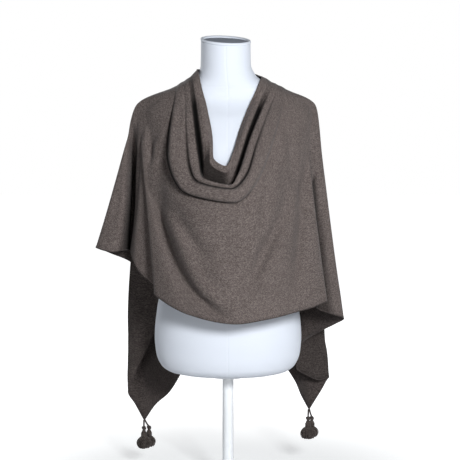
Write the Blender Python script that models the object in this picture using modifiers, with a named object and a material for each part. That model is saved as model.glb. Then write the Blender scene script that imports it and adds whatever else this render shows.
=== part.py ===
"""Knitted poncho draped on a limbless dress form with a pole stand.

Units are metres, +Z is up, and the garment's front faces -Y. The origin is on
the floor under the middle of the base plate. Tables are in millimetres.

The cloth is one surface that runs all the way round the form. A column is named
by its place "around": 0 at the front centre, -1 and +1 on the shoulder lines and
wing tips, -2 and +2 at the centre-back seam. A row is named by its place "down":
0 at the neck edge, one for each fold of the cowl, then the shoulder edge (RIM)
and the hem (HEM). The front, left back and right back stretches are cut from it.
"""
import math
from collections import namedtuple

import bmesh
import bpy
import numpy as np
from mathutils import Vector
from mathutils.bvhtree import BVHTree

MM = 0.001

# Cloth
WALL = 2.0 * MM                 # thickness of the doubled knit wall
SEAM_GAP = 0.3 * MM             # space between pieces that touch
FORM_CLEARANCE = 5.0 * MM       # from the dress form to the cloth's inner face
NECK_HALF_WIDTH = 67.0          # mm, from the centre to the neck edge on a shoulder
SHOULDER_CLEARANCE = 6.0        # mm, from the shoulder line up to the cloth
SETTLE = 0.65                   # mm, the cloth sinks until it meets the shoulders
BACK_CLEARANCE = 7.0            # mm, from the torso's back to the cloth
LEFT_NECK_RISE = 9.0            # mm, the neck edge lies higher on the left
NECK_RISE_REACH = 16.0          # mm along the shoulder over which that fades
COLUMN_PITCH = 26.0             # mm of hem from one column to the next
ROWS_PER_FOLD = 2               # mesh rows for each row of the fold table
SHOULDER_ROWS = 4               # mesh rows from the last fold to the shoulder edge
HANG_ROWS = 6                   # mesh rows from the shoulder edge to the hem
RIM = 8                         # "down" value of the shoulder edge
HEM = 12                        # "down" value of the hem
BACK_RIM_LEVEL = 800.0          # mm, height of the shoulder edge at the back seam
NAPE_LEVEL = 938.0              # mm, height of the neck edge at the back seam
STRETCH_EDGE = 1.045            # "around" value where front and back stretches meet

# Dress form
FORM_SIDES = 36
SHOULDER_END_LEVEL = 830        # mm, where the torso is widest at the shoulders
NECK_LEAN = -5.0                # mm to the side at the neck
NECK_LEAN_START = 893           # mm, height where the lean starts
NECK_LEAN_RISE = 50             # mm of height over which it grows
NECK_TILT = math.radians(11.0)
NECK_ROLL = math.radians(-3.0)
CAP_THICKNESS = 7.0 * MM
CAP_OVERHANG = 1.0 * MM
CAP_EDGE = 0.85 * MM            # the narrow slope round its top

# Stand
BASE_RADIUS = 150.0 * MM
BASE_THICKNESS = 8.0 * MM
BASE_BEVEL = 2.0 * MM
POLE_RADIUS = 12.5 * MM
POLE_BEVEL = 0.5 * MM
COLLAR_RADIUS = 27.0 * MM
COLLAR_TOP_RADIUS = 17.5 * MM
COLLAR_HEIGHT = 26.0 * MM
COLLAR_SHOULDER = 0.6           # share of its height over which the collar is straight
FLANGE_RADIUS = 45.0 * MM
FLANGE_THICKNESS = 7.0 * MM
FLANGE_BEVEL = 1.5 * MM
ROUND_SIDES = 32

# Tassels
STRAND_SIDES = 3
HEAD_SIDES = 12
CORD_RADIUS = 0.9 * MM

Section = namedtuple("Section", "name level half_width front back")
TORSO_SECTIONS = (
    Section("underside", 250, 112, 70, 66),
    Section("lower corner", 256, 134, 88, 84),
    Section("corner", 270, 152, 102, 96),
    Section("above corner", 298, 163, 110, 104),
    Section("hip", 335, 166, 113, 108),
    Section("high hip", 400, 160, 108, 106),
    Section("below waist", 470, 143, 96, 92),
    Section("waist", 535, 130, 88, 80),
    Section("ribs", 600, 138, 96, 84),
    Section("under bust", 665, 152, 112, 92),
    Section("bust", 715, 162, 122, 98),
    Section("chest", 765, 174, 112, 104),
    Section("high chest", 805, 180, 94, 102),
    Section("shoulder end", 830, 183, 80, 90),
    Section("shoulder edge", 845, 179, 68, 78),
    Section("outer shoulder", 858, 166, 59, 66),
    Section("mid shoulder", 871, 150, 54, 60),
    Section("shoulder", 882, 128, 54, 58),
    Section("inner shoulder", 893, 106, 55, 58),
    Section("neck curve", 905, 85, 55, 57),
    Section("neck root", 921, 65, 54, 55),
    Section("neck", 944, 56, 53, 52),
    Section("neck top", 994, 55, 52, 51),
)

# Rows of the cowl, from the neck edge down. Reach is the distance from the neck
# edge along the shoulder. The side points lie half-way down each side and the
# turn points where it bends to the low point, all as (x, z); the low point at
# the front centre is (x, y, z). Lift is how far the side stands off the form,
# and crown how far the row stands off the shoulder line.
Fold = namedtuple("Fold", "name left_reach left left_turn low right_turn right right_reach lift crown")
FOLDS = (
    Fold("neck edge", 0, (-35, 787), (-32, 744), (-5, -131, 726), (13, 757), (28, 806), 0, 5, 0),
    Fold("neck strip", 8, (-47, 774), (-43, 724), (-3, -144, 702), (16, 738), (36, 799), 14, 15, 3),
    Fold("deep groove", 16, (-61, 752), (-52, 698), (2, -138, 670), (20, 706), (45, 785), 30, 5, 0),
    Fold("inner roll", 24, (-73, 748), (-62, 706), (3, -164, 689), (28, 716), (54, 782), 38, 24, 4),
    Fold("thin crease", 29, (-86, 748), (-68, 696), (5, -161, 680), (38, 706), (62, 778), 44, 17, 2),
    Fold("main roll", 37, (-107, 748), (-84, 686), (7, -183, 669), (47, 697), (78, 769), 52, 33, 5),
    Fold("under groove", 46, (-131, 752), (-95, 672), (10, -160, 650), (54, 682), (92, 764), 62, 9, 1),
    Fold("upper panel", 60, (-148, 736), (-103, 648), (12, -173, 622), (68, 655), (110, 744), 76, 15, 2),
    Fold("shoulder edge", 136, (-178, 690), (-104, 582), (12, -183, 548), (96, 584), (160, 690), 127, 62, 19),
)
TURN = 0.24                     # "around" value of the turn points
TURN_SHARE = 0.75               # share of the way from the side's lift to the low point's there
BACK_SAG = 1.6                  # above 1, a back row stays high near the shoulders

# Stations of the hem, from the back seam round the left side to the front, and
# on round the right side. Bow is how far the cloth swings sideways half-way down
# to the hem. A corner is a free corner of the cut.
Station = namedtuple("Station", "name around x y z bow corner")
STATIONS = (
    Station("back seam, left", -2.00, 0, 162, 398, 0, False),
    Station("left back ridge", -1.90, -44, 158, 362, 0, False),
    Station("left back hollow", -1.82, -76, 132, 314, -4, False),
    Station("left tail ridge", -1.74, -106, 150, 232, -8, False),
    Station("left short edge", -1.67, -140, 134, 177, -14, False),
    Station("left short edge end", -1.60, -172, 128, 149, -20, False),
    Station("left tip", -1.54, -198, 120, 112, -26, True),
    Station("left tail turn", -1.49, -219, 119, 152, -31, False),
    Station("left tail fold", -1.45, -234, 110, 182, -34, False),
    Station("left tail face", -1.38, -219, 94, 228, -26, False),
    Station("left tail inside", -1.28, -180, 72, 312, -12, False),
    Station("left inner turn", -1.20, -152, 55, 392, 0, False),
    Station("left wing lining", -1.13, -178, 43, 452, 0, False),
    Station("left wing back", -1.08, -224, 38, 501, 0, False),
    Station("left wing back edge", -1.04, -262, 20, 520, 0, False),
    Station("left wing tip", -1.00, -296, -5, 537, 0, False),
    Station("left wing front", -0.95, -258, -25, 529, 0, False),
    Station("left groove lip", -0.92, -236, -21, 532, 0, False),
    Station("left groove", -0.885, -222, 0, 524, 0, False),
    Station("left groove edge", -0.84, -219, -27, 526, 0, False),
    Station("left flat", -0.78, -198, -44, 488, 0, False),
    Station("left flat end", -0.72, -170, -58, 464, 0, False),
    Station("left crest back", -0.66, -157, -70, 452, 0, False),
    Station("left crest", -0.61, -160, -100, 446, 0, False),
    Station("front left", -0.55, -144, -121, 435, 0, False),
    Station("front hem left", -0.35, -81, -163, 408, 0, False),
    Station("front hem low", 0.00, 13, -185, 392, 0, False),
    Station("front hem right", 0.28, 90, -175, 402, 0, False),
    Station("front right", 0.48, 151, -150, 414, 0, False),
    Station("front right side", 0.58, 188, -126, 421, 0, False),
    Station("right crest", 0.66, 216, -98, 429, 0, False),
    Station("right valley", 0.75, 196, -56, 409, 0, False),
    Station("right wing front", 0.87, 229, -29, 391, 0, False),
    Station("right wing tip", 1.00, 261, 0, 374, 0, False),
    Station("right wing back", 1.08, 240, 24, 357, 0, False),
    Station("right wing lining", 1.15, 205, 46, 334, 0, False),
    Station("right inner turn", 1.22, 160, 60, 292, 0, False),
    Station("right tail inside", 1.29, 158, 71, 250, 0, False),
    Station("right tail face", 1.36, 184, 86, 228, 8, False),
    Station("right tail front", 1.41, 214, 100, 214, 14, False),
    Station("right tail fold", 1.46, 236, 112, 218, 19, False),
    Station("right tail turn", 1.51, 217, 119, 182, 17, False),
    Station("right tip", 1.56, 191, 121, 138, 13, True),
    Station("right short edge", 1.61, 172, 134, 172, 9, False),
    Station("right back fold", 1.66, 160, 146, 200, 6, False),
    Station("right tail ridge", 1.73, 118, 152, 262, 4, False),
    Station("right back hollow", 1.82, 80, 132, 316, 0, False),
    Station("right back ridge", 1.91, 42, 158, 362, 0, False),
    Station("back seam, right", 2.00, 0, 162, 398, 0, False),
)

# Creases of the front panel: troughs where depth is over 0, ridges where it is
# under 0. A route is (x, z) seen from the front.
Crease = namedtuple("Crease", "name depth width route")
CREASES = (
    Crease("long left trough", 9, 13, ((-163, 655), (-125, 545), (-84, 465), (-30, 417), (2, 402))),
    Crease("long left ridge", -6, 15, ((-138, 650), (-98, 545), (-58, 470), (-8, 425))),
    Crease("middle trough", 5, 16, ((-152, 664), (-70, 560), (-48, 528))),
    Crease("right trough", 7, 18, ((140, 690), (110, 610), (84, 548), (40, 470))),
    Crease("right ridge", -5, 20, ((168, 690), (150, 600), (122, 540), (84, 470))),
    Crease("right side trough", 5, 14, ((170, 750), (158, 640), (148, 540))),
    Crease("left side pleat", 5, 9, ((-168, 828), (-172, 760), (-176, 640))),
)

CREASE_START = 0.08             # share of a crease's arch that is left off at each end
CREASE_FADE = 0.7               # under 1, a crease keeps its depth nearly to its ends
CREASE_BACK_LIMIT = -20         # mm of y, creases mark only the cloth in front of this

# Tassels, two on each free corner. Beside is how far the cord starts from the
# corner's tip; x and y are the place of the knot and skirt; turn is in radians.
Tassel = namedtuple("Tassel", "name corner beside x y knot_top skirt_radius skirt_length turn")
TASSELS = (
    Tassel("tassel_left_front", "left tip", -1.1, -203, 116, 98, 14.5, 27, 0.0),
    Tassel("tassel_left_back", "left tip", 1.1, -182, 136, 89, 13.5, 25, 0.4),
    Tassel("tassel_right_front", "right tip", -1.1, 189, 117, 121, 16.5, 28, 0.2),
    Tassel("tassel_right_back", "right tip", 1.1, 203, 142, 115, 13.0, 25, 0.7),
)
KNOT_RADIUS = 5.0
KNOT_HEIGHT = 9.0
NECK_RADIUS = 7.5
NECK_HEIGHT = 18.0
CORD_SAG = 1.2                  # mm, how far a cord hangs below a straight line
CORD_SETBACK = 1.0              # mm behind the corner's inner face, so within the wall

# Rings of strands. Root and spread are shares of the neck's and the skirt's radius.
StrandRing = namedtuple("StrandRing", "count root spread width")
STRAND_RINGS = (
    StrandRing(13, 0.92, 1.0, 2.3),
    StrandRing(6, 0.42, 0.5, 1.5),
)
STRAND_ROOT_DEPTH = 1.6         # mm, strands start this far inside the neck
UNEVENNESS = 0.06               # share by which strands differ in length and flare


def smooth_through(knots, values, query):
    """Read a monotone cubic curve through the knots; no value overshoots its neighbours."""
    knots = np.asarray(knots, dtype=float)
    values = np.asarray(values, dtype=float).reshape(len(knots), -1)
    query = np.atleast_1d(np.asarray(query, dtype=float))
    steps = np.diff(knots)[:, None]
    rises = np.diff(values, axis=0) / steps
    slopes = np.zeros_like(values)
    slopes[0] = rises[0]
    slopes[-1] = rises[-1]
    before, after = rises[:-1], rises[1:]
    weight_before = 2 * steps[1:] + steps[:-1]
    weight_after = steps[1:] + 2 * steps[:-1]
    same_sign = before * after > 0
    safe_before = np.where(same_sign, before, 1.0)
    safe_after = np.where(same_sign, after, 1.0)
    mean = (weight_before + weight_after) / (weight_before / safe_before + weight_after / safe_after)
    slopes[1:-1] = np.where(same_sign, mean, 0.0)
    spans = np.clip(np.searchsorted(knots, query, side="right") - 1, 0, len(knots) - 2)
    width = steps[spans]
    part = (query[:, None] - knots[spans][:, None]) / width
    square, cube = part ** 2, part ** 3
    return (
        values[spans] * (2 * cube - 3 * square + 1)
        + slopes[spans] * width * (cube - 2 * square + part)
        + values[spans + 1] * (3 * square - 2 * cube)
        + slopes[spans + 1] * width * (cube - square)
    )


def torso_size(level):
    """Give the torso's half width, front depth and back depth at a height, in mm."""
    sizes = [(row.half_width, row.front, row.back) for row in TORSO_SECTIONS]
    levels = [row.level for row in TORSO_SECTIONS]
    return smooth_through(levels, sizes, np.clip(level, levels[0], levels[-1]))


def shoulder_level(distance):
    """Give the height of the shoulder line at a distance from the centre, in mm."""
    rows = [row for row in TORSO_SECTIONS if row.level >= SHOULDER_END_LEVEL][::-1]
    return smooth_through([row.half_width for row in rows], [row.level for row in rows],
                          np.clip(distance, rows[0].half_width, rows[-1].half_width))[:, 0]


def front_depth(x, z):
    """Give how far the torso's front lies from the middle plane at x, z."""
    size = torso_size(z)
    return size[:, 1] * np.sqrt(np.clip(1 - (x / size[:, 0]) ** 2, 0, 1))


def neck_rise(reach):
    """Give how far the left side of the neck edge climbs the neck, in mm."""
    return LEFT_NECK_RISE * np.exp(-np.asarray(reach) / NECK_RISE_REACH)


def front_row(fold, around):
    """Read a fold row across the front, from the left shoulder to the right one."""
    left_end = -(NECK_HALF_WIDTH + fold.left_reach)
    right_end = NECK_HALF_WIDTH + fold.right_reach
    crown = SHOULDER_CLEARANCE + fold.crown
    ends = shoulder_level([-left_end, right_end]) + crown
    ends[0] += neck_rise(fold.left_reach)
    low_lift = -fold.low[1] - front_depth(np.array([fold.low[0]]), np.array([fold.low[2]]))[0]
    turn_lift = fold.lift + TURN_SHARE * (low_lift - fold.lift)
    points = (
        (left_end, ends[0], 0.0),
        (*fold.left, fold.lift),
        (*fold.left_turn, turn_lift),
        (fold.low[0], fold.low[2], low_lift),
        (*fold.right_turn, turn_lift),
        (*fold.right, fold.lift),
        (right_end, ends[1], 0.0),
    )
    curve = smooth_through((-1.0, -0.5, -TURN, 0.0, TURN, 0.5, 1.0), points, around)
    x, z, lift = curve.T
    above_form = np.abs(around) ** 4 * (crown + np.where(around < 0, neck_rise(fold.left_reach), 0))
    return np.column_stack((x, -front_depth(x, z - above_form) - lift, z))


def back_row(fold, order, around):
    """Read a fold row across the back, where it lies flat under the neck edge."""
    side = np.sign(around)
    reach = np.where(side < 0, fold.left_reach, fold.right_reach)
    end = NECK_HALF_WIDTH + reach
    turn = (np.abs(around) - 1) * math.pi / 2
    crown = SHOULDER_CLEARANCE + fold.crown + np.where(side < 0, neck_rise(reach), 0)
    end_level = shoulder_level(end) + crown
    back_level = NAPE_LEVEL + (BACK_RIM_LEVEL - NAPE_LEVEL) * order / RIM
    z = end_level + (back_level - end_level) * np.sin(turn) ** BACK_SAG
    x = side * end * np.cos(turn)
    y = (torso_size(back_level)[0, 2] + BACK_CLEARANCE) * np.sin(turn)
    return np.column_stack((x, y, z))


def fold_row(order, around):
    """Read one whole row of the fold table, front and back."""
    front = front_row(FOLDS[order], np.clip(around, -1, 1))
    back = back_row(FOLDS[order], order, np.where(np.abs(around) > 1, around, np.sign(around + 1e-9)))
    return np.where(np.abs(around)[:, None] <= 1, front, back)


def hem_line(around):
    """Read the hem and its bow through the stations, sharp at each free corner."""
    corners = [0] + [i for i, row in enumerate(STATIONS) if row.corner] + [len(STATIONS) - 1]
    line = np.zeros((len(around), 4))
    for first, last in zip(corners[:-1], corners[1:]):
        rows = STATIONS[first:last + 1]
        inside = (around >= rows[0].around - 1e-9) & (around <= rows[-1].around + 1e-9)
        values = [(row.x, row.y, row.z, row.bow) for row in rows]
        line[inside] = smooth_through([row.around for row in rows], values, around[inside])
    return line


def crease_offset(points):
    """Work out how far the front panel's creases push each point back, in mm."""
    offset = np.zeros(len(points))
    flat = points[:, [0, 2]]
    for crease in CREASES:
        nearest = np.full(len(points), np.inf)
        place = np.zeros(len(points))
        count = len(crease.route) - 1
        for number, (start, end) in enumerate(zip(crease.route[:-1], crease.route[1:])):
            start, along = np.array(start, float), np.subtract(end, start).astype(float)
            part = np.clip((flat - start) @ along / (along @ along), 0, 1)
            distance = np.linalg.norm(flat - start - part[:, None] * along, axis=1)
            closer = distance < nearest
            nearest = np.where(closer, distance, nearest)
            place = np.where(closer, (number + part) / count, place)
        fade = np.sin(math.pi * (CREASE_START + (1 - 2 * CREASE_START) * place)) ** CREASE_FADE
        offset += crease.depth * fade * np.exp(-(nearest / crease.width) ** 2)
    return np.where(points[:, 1] < CREASE_BACK_LIMIT, offset, 0)


def cloth_points(around, down):
    """Work out the cloth's inner face, in mm, as an array of rows, columns and x, y, z."""
    rows = [fold_row(order, around) for order in range(RIM + 1)]
    rim, line = rows[-1], hem_line(around)
    hem, bow = line[:, :3], line[:, 3:] * (1.0, 0.0, 0.0)
    for part in np.linspace(0, 1, HEM - RIM + 1)[1:]:
        rows.append(rim + (hem - rim) * part + bow * math.sin(math.pi * part))
    stack = np.array(rows).reshape(len(rows), -1)
    grid = smooth_through(range(len(rows)), stack, down).reshape(len(down), len(around), 3)
    for number, place in enumerate(down):
        if place > RIM - 1:
            strength = min(1.0, place - RIM + 1)
            grid[number, :, 1] += strength * crease_offset(grid[number])
    return grid


def push_clear(grid, tree, clearance):
    """Move every point that is too near the form out to the clearance."""
    for row in grid:
        for point in row:
            near, normal, _, distance = tree.find_nearest(Vector(point))
            side = (Vector(point) - near).dot(normal)
            if side < 0 or distance < clearance:
                point[:] = near + normal * clearance
    return grid


def column_places():
    """Spread the columns along the hem: closer where the hem is long between stations."""
    places = [STATIONS[0].around]
    for first, last in zip(STATIONS[:-1], STATIONS[1:]):
        length = math.dist((first.x, first.y, first.z), (last.x, last.y, last.z))
        count = max(2, round(length / COLUMN_PITCH))
        places += list(np.linspace(first.around, last.around, count + 1)[1:])
    return np.array(places)


def row_places():
    """Spread the rows: evenly over the folds, then down the hanging cloth."""
    folds = np.linspace(0, RIM - 1, (RIM - 1) * ROWS_PER_FOLD + 1)
    shoulder = np.linspace(RIM - 1, RIM, SHOULDER_ROWS + 1)[1:]
    return np.concatenate((folds, shoulder, np.linspace(RIM, HEM, HANG_ROWS + 1)[1:]))


def make_material(name, colour, roughness, metallic=0.0):
    """Make a plain finish from a linear colour."""
    material = bpy.data.materials.new(name)
    material.use_nodes = True
    shader = material.node_tree.nodes["Principled BSDF"]
    shader.inputs["Base Color"].default_value = (*colour, 1.0)
    shader.inputs["Roughness"].default_value = roughness
    shader.inputs["Metallic"].default_value = metallic
    material.diffuse_color = (*colour, 1.0)
    return material


def add_object(name, mesh, collection, material=None):
    """Put a mesh in a collection as a named object."""
    obj = bpy.data.objects.new(name, mesh)
    collection.objects.link(obj)
    if material:
        mesh.materials.append(material)
    return obj


def mesh_from(build):
    """Run a function on a new bmesh and turn the result into a mesh."""
    shape = bmesh.new()
    build(shape)
    bmesh.ops.recalc_face_normals(shape, faces=shape.faces)
    mesh = bpy.data.meshes.new("mesh")
    shape.to_mesh(mesh)
    shape.free()
    return mesh


def add_loft(shape, rings):
    """Skin a stack of closed rings and close both ends."""
    loops = [[shape.verts.new(point) for point in ring] for ring in rings]
    for lower, upper in zip(loops[:-1], loops[1:]):
        for i in range(len(lower)):
            j = (i + 1) % len(lower)
            shape.faces.new((lower[i], lower[j], upper[j], upper[i]))
    shape.faces.new(loops[0][::-1])
    shape.faces.new(loops[-1])


def neck_tilt_level(x, y):
    """Give the rise of the neck's slanted top at a point of its edge."""
    return y * math.tan(NECK_TILT) + x * math.tan(NECK_ROLL)


def neck_shift(level):
    """Give how far the neck leans to the side at a height, in mm."""
    return NECK_LEAN * float(np.clip((level - NECK_LEAN_START) / NECK_LEAN_RISE, 0, 1))


def section_ring(row, tilt):
    """Give the points of one torso section, slanted at the neck top."""
    ring = []
    for i in range(FORM_SIDES):
        angle = 2 * math.pi * i / FORM_SIDES
        depth = row.back if math.sin(angle) > 0 else row.front
        x, y = row.half_width * MM * math.cos(angle), depth * MM * math.sin(angle)
        ring.append((x + neck_shift(row.level) * MM, y, row.level * MM + tilt * neck_tilt_level(x, y)))
    return ring


def make_torso(collection, material):
    """Loft the dress form from its sections; only the neck top is slanted."""
    rings = [section_ring(row, 1.0 if row.name == "neck top" else 0.0) for row in TORSO_SECTIONS]
    torso = add_object("torso", mesh_from(lambda shape: add_loft(shape, rings)), collection, material)
    torso.data.shade_smooth()
    return torso


def make_neck_cap(collection, material):
    """Make the slanted disc that closes the neck."""
    top = TORSO_SECTIONS[-1]
    grow = 1 + CAP_OVERHANG / (top.half_width * MM)
    lid = Section("cap", top.level, top.half_width * grow, top.front * grow, top.back * grow)
    flat = section_ring(lid, 1.0)
    lean = neck_shift(top.level) * MM
    rim = 1 - CAP_EDGE / (top.front * MM)
    rings = []
    for rise, scale in ((SEAM_GAP, 1.0), (CAP_THICKNESS - CAP_EDGE, 1.0), (CAP_THICKNESS, rim)):
        rings.append([(lean + (x - lean) * scale, y * scale, z + rise) for x, y, z in flat])
    return add_object("neck_cap", mesh_from(lambda shape: add_loft(shape, rings)), collection, material)


def add_disc(name, radius, low, high, bevel, collection, material):
    """Add an upright cylinder between two heights, with beveled rims."""
    mesh = mesh_from(lambda shape: bmesh.ops.create_cone(
        shape, cap_ends=True, segments=ROUND_SIDES, radius1=radius, radius2=radius, depth=high - low))
    disc = add_object(name, mesh, collection, material)
    disc.location.z = 0.5 * (low + high)
    rim = disc.modifiers.new("rims", "BEVEL")
    rim.width = bevel
    rim.segments = 1
    rim.limit_method = "ANGLE"
    rim.angle_limit = math.radians(60)
    return disc


def add_turned(name, profile, collection, material):
    """Turn a closed profile of (radius, height) points about the Z axis."""
    mesh = bpy.data.meshes.new(name)
    edges = [(i, (i + 1) % len(profile)) for i in range(len(profile))]
    mesh.from_pydata([(radius, 0.0, level) for radius, level in profile], edges, [])
    turned = add_object(name, mesh, collection, material)
    screw = turned.modifiers.new("turn", "SCREW")
    screw.steps = screw.render_steps = ROUND_SIDES
    screw.use_merge_vertices = True
    screw.merge_threshold = 0.01 * MM
    return turned


def make_stand(collection, material):
    """Make the round plate, the pole, its collar and the flange under the torso."""
    flange_high = TORSO_SECTIONS[0].level * MM - SEAM_GAP
    flange_low = flange_high - FLANGE_THICKNESS
    foot = BASE_THICKNESS + SEAM_GAP
    add_disc("base_plate", BASE_RADIUS, 0.0, BASE_THICKNESS, BASE_BEVEL, collection, material)
    add_disc("pole", POLE_RADIUS, foot, flange_low - SEAM_GAP, POLE_BEVEL, collection, material)
    add_disc("flange", FLANGE_RADIUS, flange_low, flange_high, FLANGE_BEVEL, collection, material)
    bore = POLE_RADIUS + SEAM_GAP
    shoulder = foot + COLLAR_SHOULDER * COLLAR_HEIGHT
    top = foot + COLLAR_HEIGHT
    profile = ((bore, top), (COLLAR_TOP_RADIUS, top), (COLLAR_RADIUS, shoulder),
               (COLLAR_RADIUS, foot), (bore, foot))
    add_turned("pole_collar", profile, collection, material)


def unit_steps(grid):
    """Give the direction down the rows at each point: the mean of the two unit steps."""
    steps = np.diff(grid, axis=0)
    steps /= np.maximum(np.linalg.norm(steps, axis=2, keepdims=True), 1e-12)
    return np.concatenate((steps[:1], steps[:-1] + steps[1:], steps[-1:]))


def outward_normals(grid):
    """Work out the cloth's smooth outward direction at each point of its inner face."""
    normals = np.cross(unit_steps(grid), unit_steps(grid.transpose(1, 0, 2)).transpose(1, 0, 2))
    normals /= np.maximum(np.linalg.norm(normals, axis=2, keepdims=True), 1e-12)
    seam = normals[:, 0] + normals[:, -1]
    normals[:, 0] = normals[:, -1] = seam / np.linalg.norm(seam, axis=1, keepdims=True)
    return normals


def add_wall(shape, inner, outer):
    """Skin the space between an inner and an outer grid of points."""
    near = [[shape.verts.new(point) for point in row] for row in inner]
    far = [[shape.verts.new(point) for point in row] for row in outer]
    rows, columns = len(near), len(near[0])
    for i in range(rows - 1):
        for j in range(columns - 1):
            shape.faces.new((near[i][j], near[i + 1][j], near[i + 1][j + 1], near[i][j + 1]))
            shape.faces.new((far[i][j], far[i][j + 1], far[i + 1][j + 1], far[i + 1][j]))
    for i in range(rows - 1):
        shape.faces.new((near[i][0], far[i][0], far[i + 1][0], near[i + 1][0]))
        shape.faces.new((near[i][-1], near[i + 1][-1], far[i + 1][-1], far[i][-1]))
    for j in range(columns - 1):
        shape.faces.new((near[0][j + 1], far[0][j + 1], far[0][j], near[0][j]))
        shape.faces.new((near[-1][j], far[-1][j], far[-1][j + 1], near[-1][j + 1]))


def make_cloth(collection, material, tree):
    """Build the whole cloth once, then give each stretch its own closed wall."""
    around = np.unique(np.concatenate((column_places(), (-STRETCH_EDGE, STRETCH_EDGE))))
    inner = push_clear(cloth_points(around, row_places()) * MM, tree, FORM_CLEARANCE)
    inner[:, :, 2] -= SETTLE * MM
    outer = inner + outward_normals(inner) * WALL
    stretches = (
        ("cloth_back_left", -2.0, -STRETCH_EDGE),
        ("cloth_front", -STRETCH_EDGE, STRETCH_EDGE),
        ("cloth_back_right", STRETCH_EDGE, 2.0),
    )
    wrapped = np.concatenate((inner[:, -2:-1], inner, inner[:, 1:2]), axis=1)
    across = wrapped[:, 2:] - wrapped[:, :-2]
    across *= 0.5 * SEAM_GAP / np.linalg.norm(across, axis=2, keepdims=True)
    for name, first, last in stretches:
        columns = np.flatnonzero((around >= first) & (around <= last))
        faces = [inner[:, columns], outer[:, columns]]
        for face in faces:
            face[:, 0] += across[:, columns[0]]
            face[:, -1] -= across[:, columns[-1]]
        mesh = mesh_from(lambda shape, faces=faces: add_wall(shape, *faces))
        mesh.shade_smooth()
        add_object(name, mesh, collection, material)


def add_strand(shape, path, widths, spin):
    """Add one tapered strand along a path, with a width for each of its points."""
    rings = []
    for number, (point, width) in enumerate(zip(path, widths)):
        ahead = path[min(number + 1, len(path) - 1)] - path[max(number - 1, 0)]
        ahead.normalize()
        side = Vector((-math.sin(spin), math.cos(spin), 0))
        face = side.cross(ahead).normalized()
        rings.append([point + side * (width * math.cos(a)) + face * (width * math.sin(a))
                      for a in np.linspace(0, 2 * math.pi, STRAND_SIDES, endpoint=False)])
    add_loft(shape, rings)


def tassel_strands(tassel, skirt_top):
    """Give the mesh of a tassel's strands: a full outer ring and a smaller inner one."""
    length = tassel.skirt_length

    def build(shape):
        for ring in STRAND_RINGS:
            for number in range(ring.count):
                angle = tassel.turn + 2 * math.pi * number / ring.count
                uneven = 1 - UNEVENNESS * (1 - math.sin(2.4 * number + tassel.turn))
                flare = tassel.skirt_radius * ring.spread * uneven - ring.width
                root = (NECK_RADIUS - STRAND_ROOT_DEPTH) * ring.root
                drops = ((root, 3.5), (root + 0.35 * (flare - root), -2.0),
                         (flare, -0.52 * length), (0.93 * flare, -length * uneven))
                centre = Vector((tassel.x, tassel.y, skirt_top))
                out = Vector((math.cos(angle), math.sin(angle), 0))
                path = [(centre + out * radius + Vector((0, 0, drop))) * MM for radius, drop in drops]
                thick = [share * ring.width * MM for share in (0.4, 0.6, 1.0, 0.8)]
                add_strand(shape, path, thick, angle)

    return mesh_from(build)


def tassel_head(tassel, neck_low):
    """Give the closed shape of the cord, the knot and the wrapped neck."""
    knot_low = tassel.knot_top - KNOT_HEIGHT
    turned = (
        (0.25 * NECK_RADIUS, neck_low - 0.6),
        (0.80 * NECK_RADIUS, neck_low - 0.4),
        (0.98 * NECK_RADIUS, neck_low + 3),
        (NECK_RADIUS, neck_low + 8),
        (0.72 * NECK_RADIUS, knot_low - 2),
        (0.50 * KNOT_RADIUS, knot_low),
        (0.92 * KNOT_RADIUS, knot_low + 2.5),
        (KNOT_RADIUS, knot_low + 5),
        (0.60 * KNOT_RADIUS, knot_low + 8),
    )
    rings = [[Vector((tassel.x + radius * math.cos(a), tassel.y + radius * math.sin(a), level)) * MM
              for a in np.linspace(0, 2 * math.pi, HEAD_SIDES, endpoint=False)] for radius, level in turned]
    start = Vector((tassel.x, tassel.y, tassel.knot_top)) * MM
    corner = next(row for row in STATIONS if row.name == tassel.corner)
    end = Vector((corner.x + tassel.beside, corner.y + CORD_SETBACK, corner.z - SETTLE)) * MM
    end.z -= SEAM_GAP
    for place in (0.0, 0.5, 1.0):
        centre = start.lerp(end, place) - Vector((0, 0, CORD_SAG * MM * math.sin(math.pi * place)))
        rings.append([centre + Vector((math.cos(a), math.sin(a), 0)) * CORD_RADIUS
                      for a in np.linspace(0, 2 * math.pi, HEAD_SIDES, endpoint=False)])
    return mesh_from(lambda shape: add_loft(shape, rings))


def make_tassel(tassel, collection, cutters, material):
    """Fuse a tassel's strands to its head."""
    neck_low = tassel.knot_top - KNOT_HEIGHT - NECK_HEIGHT
    strands = add_object(tassel.name + "_strands", tassel_strands(tassel, neck_low), cutters)
    strands.hide_render = True
    strands.display_type = "WIRE"
    head = add_object(tassel.name, tassel_head(tassel, neck_low), collection, material)
    fuse = head.modifiers.new("strands", "BOOLEAN")
    fuse.operation = "UNION"
    fuse.object = strands
    fuse.solver = "EXACT"


def main():
    """Build the dress form, its stand, the poncho and its tassels."""
    for obj in list(bpy.data.objects):
        bpy.data.objects.remove(obj)
    parts = bpy.data.collections.new("poncho on dress form")
    cutters = bpy.data.collections.new("cutters")
    for collection in (parts, cutters):
        bpy.context.scene.collection.children.link(collection)
    knit = make_material("heather knit", (0.135, 0.112, 0.108), 0.9)
    cover = make_material("form cover", (0.84, 0.86, 0.90), 0.75)
    cap = make_material("neck cap", (0.62, 0.64, 0.68), 0.5)
    enamel = make_material("white enamel", (0.86, 0.87, 0.90), 0.35)
    torso = make_torso(parts, cover)
    make_neck_cap(parts, cap)
    make_stand(parts, enamel)
    bpy.context.view_layer.update()
    tree = BVHTree.FromObject(torso, bpy.context.evaluated_depsgraph_get())
    make_cloth(parts, knit, tree)
    for tassel in TASSELS:
        make_tassel(tassel, parts, cutters, knit)


main()
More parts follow.
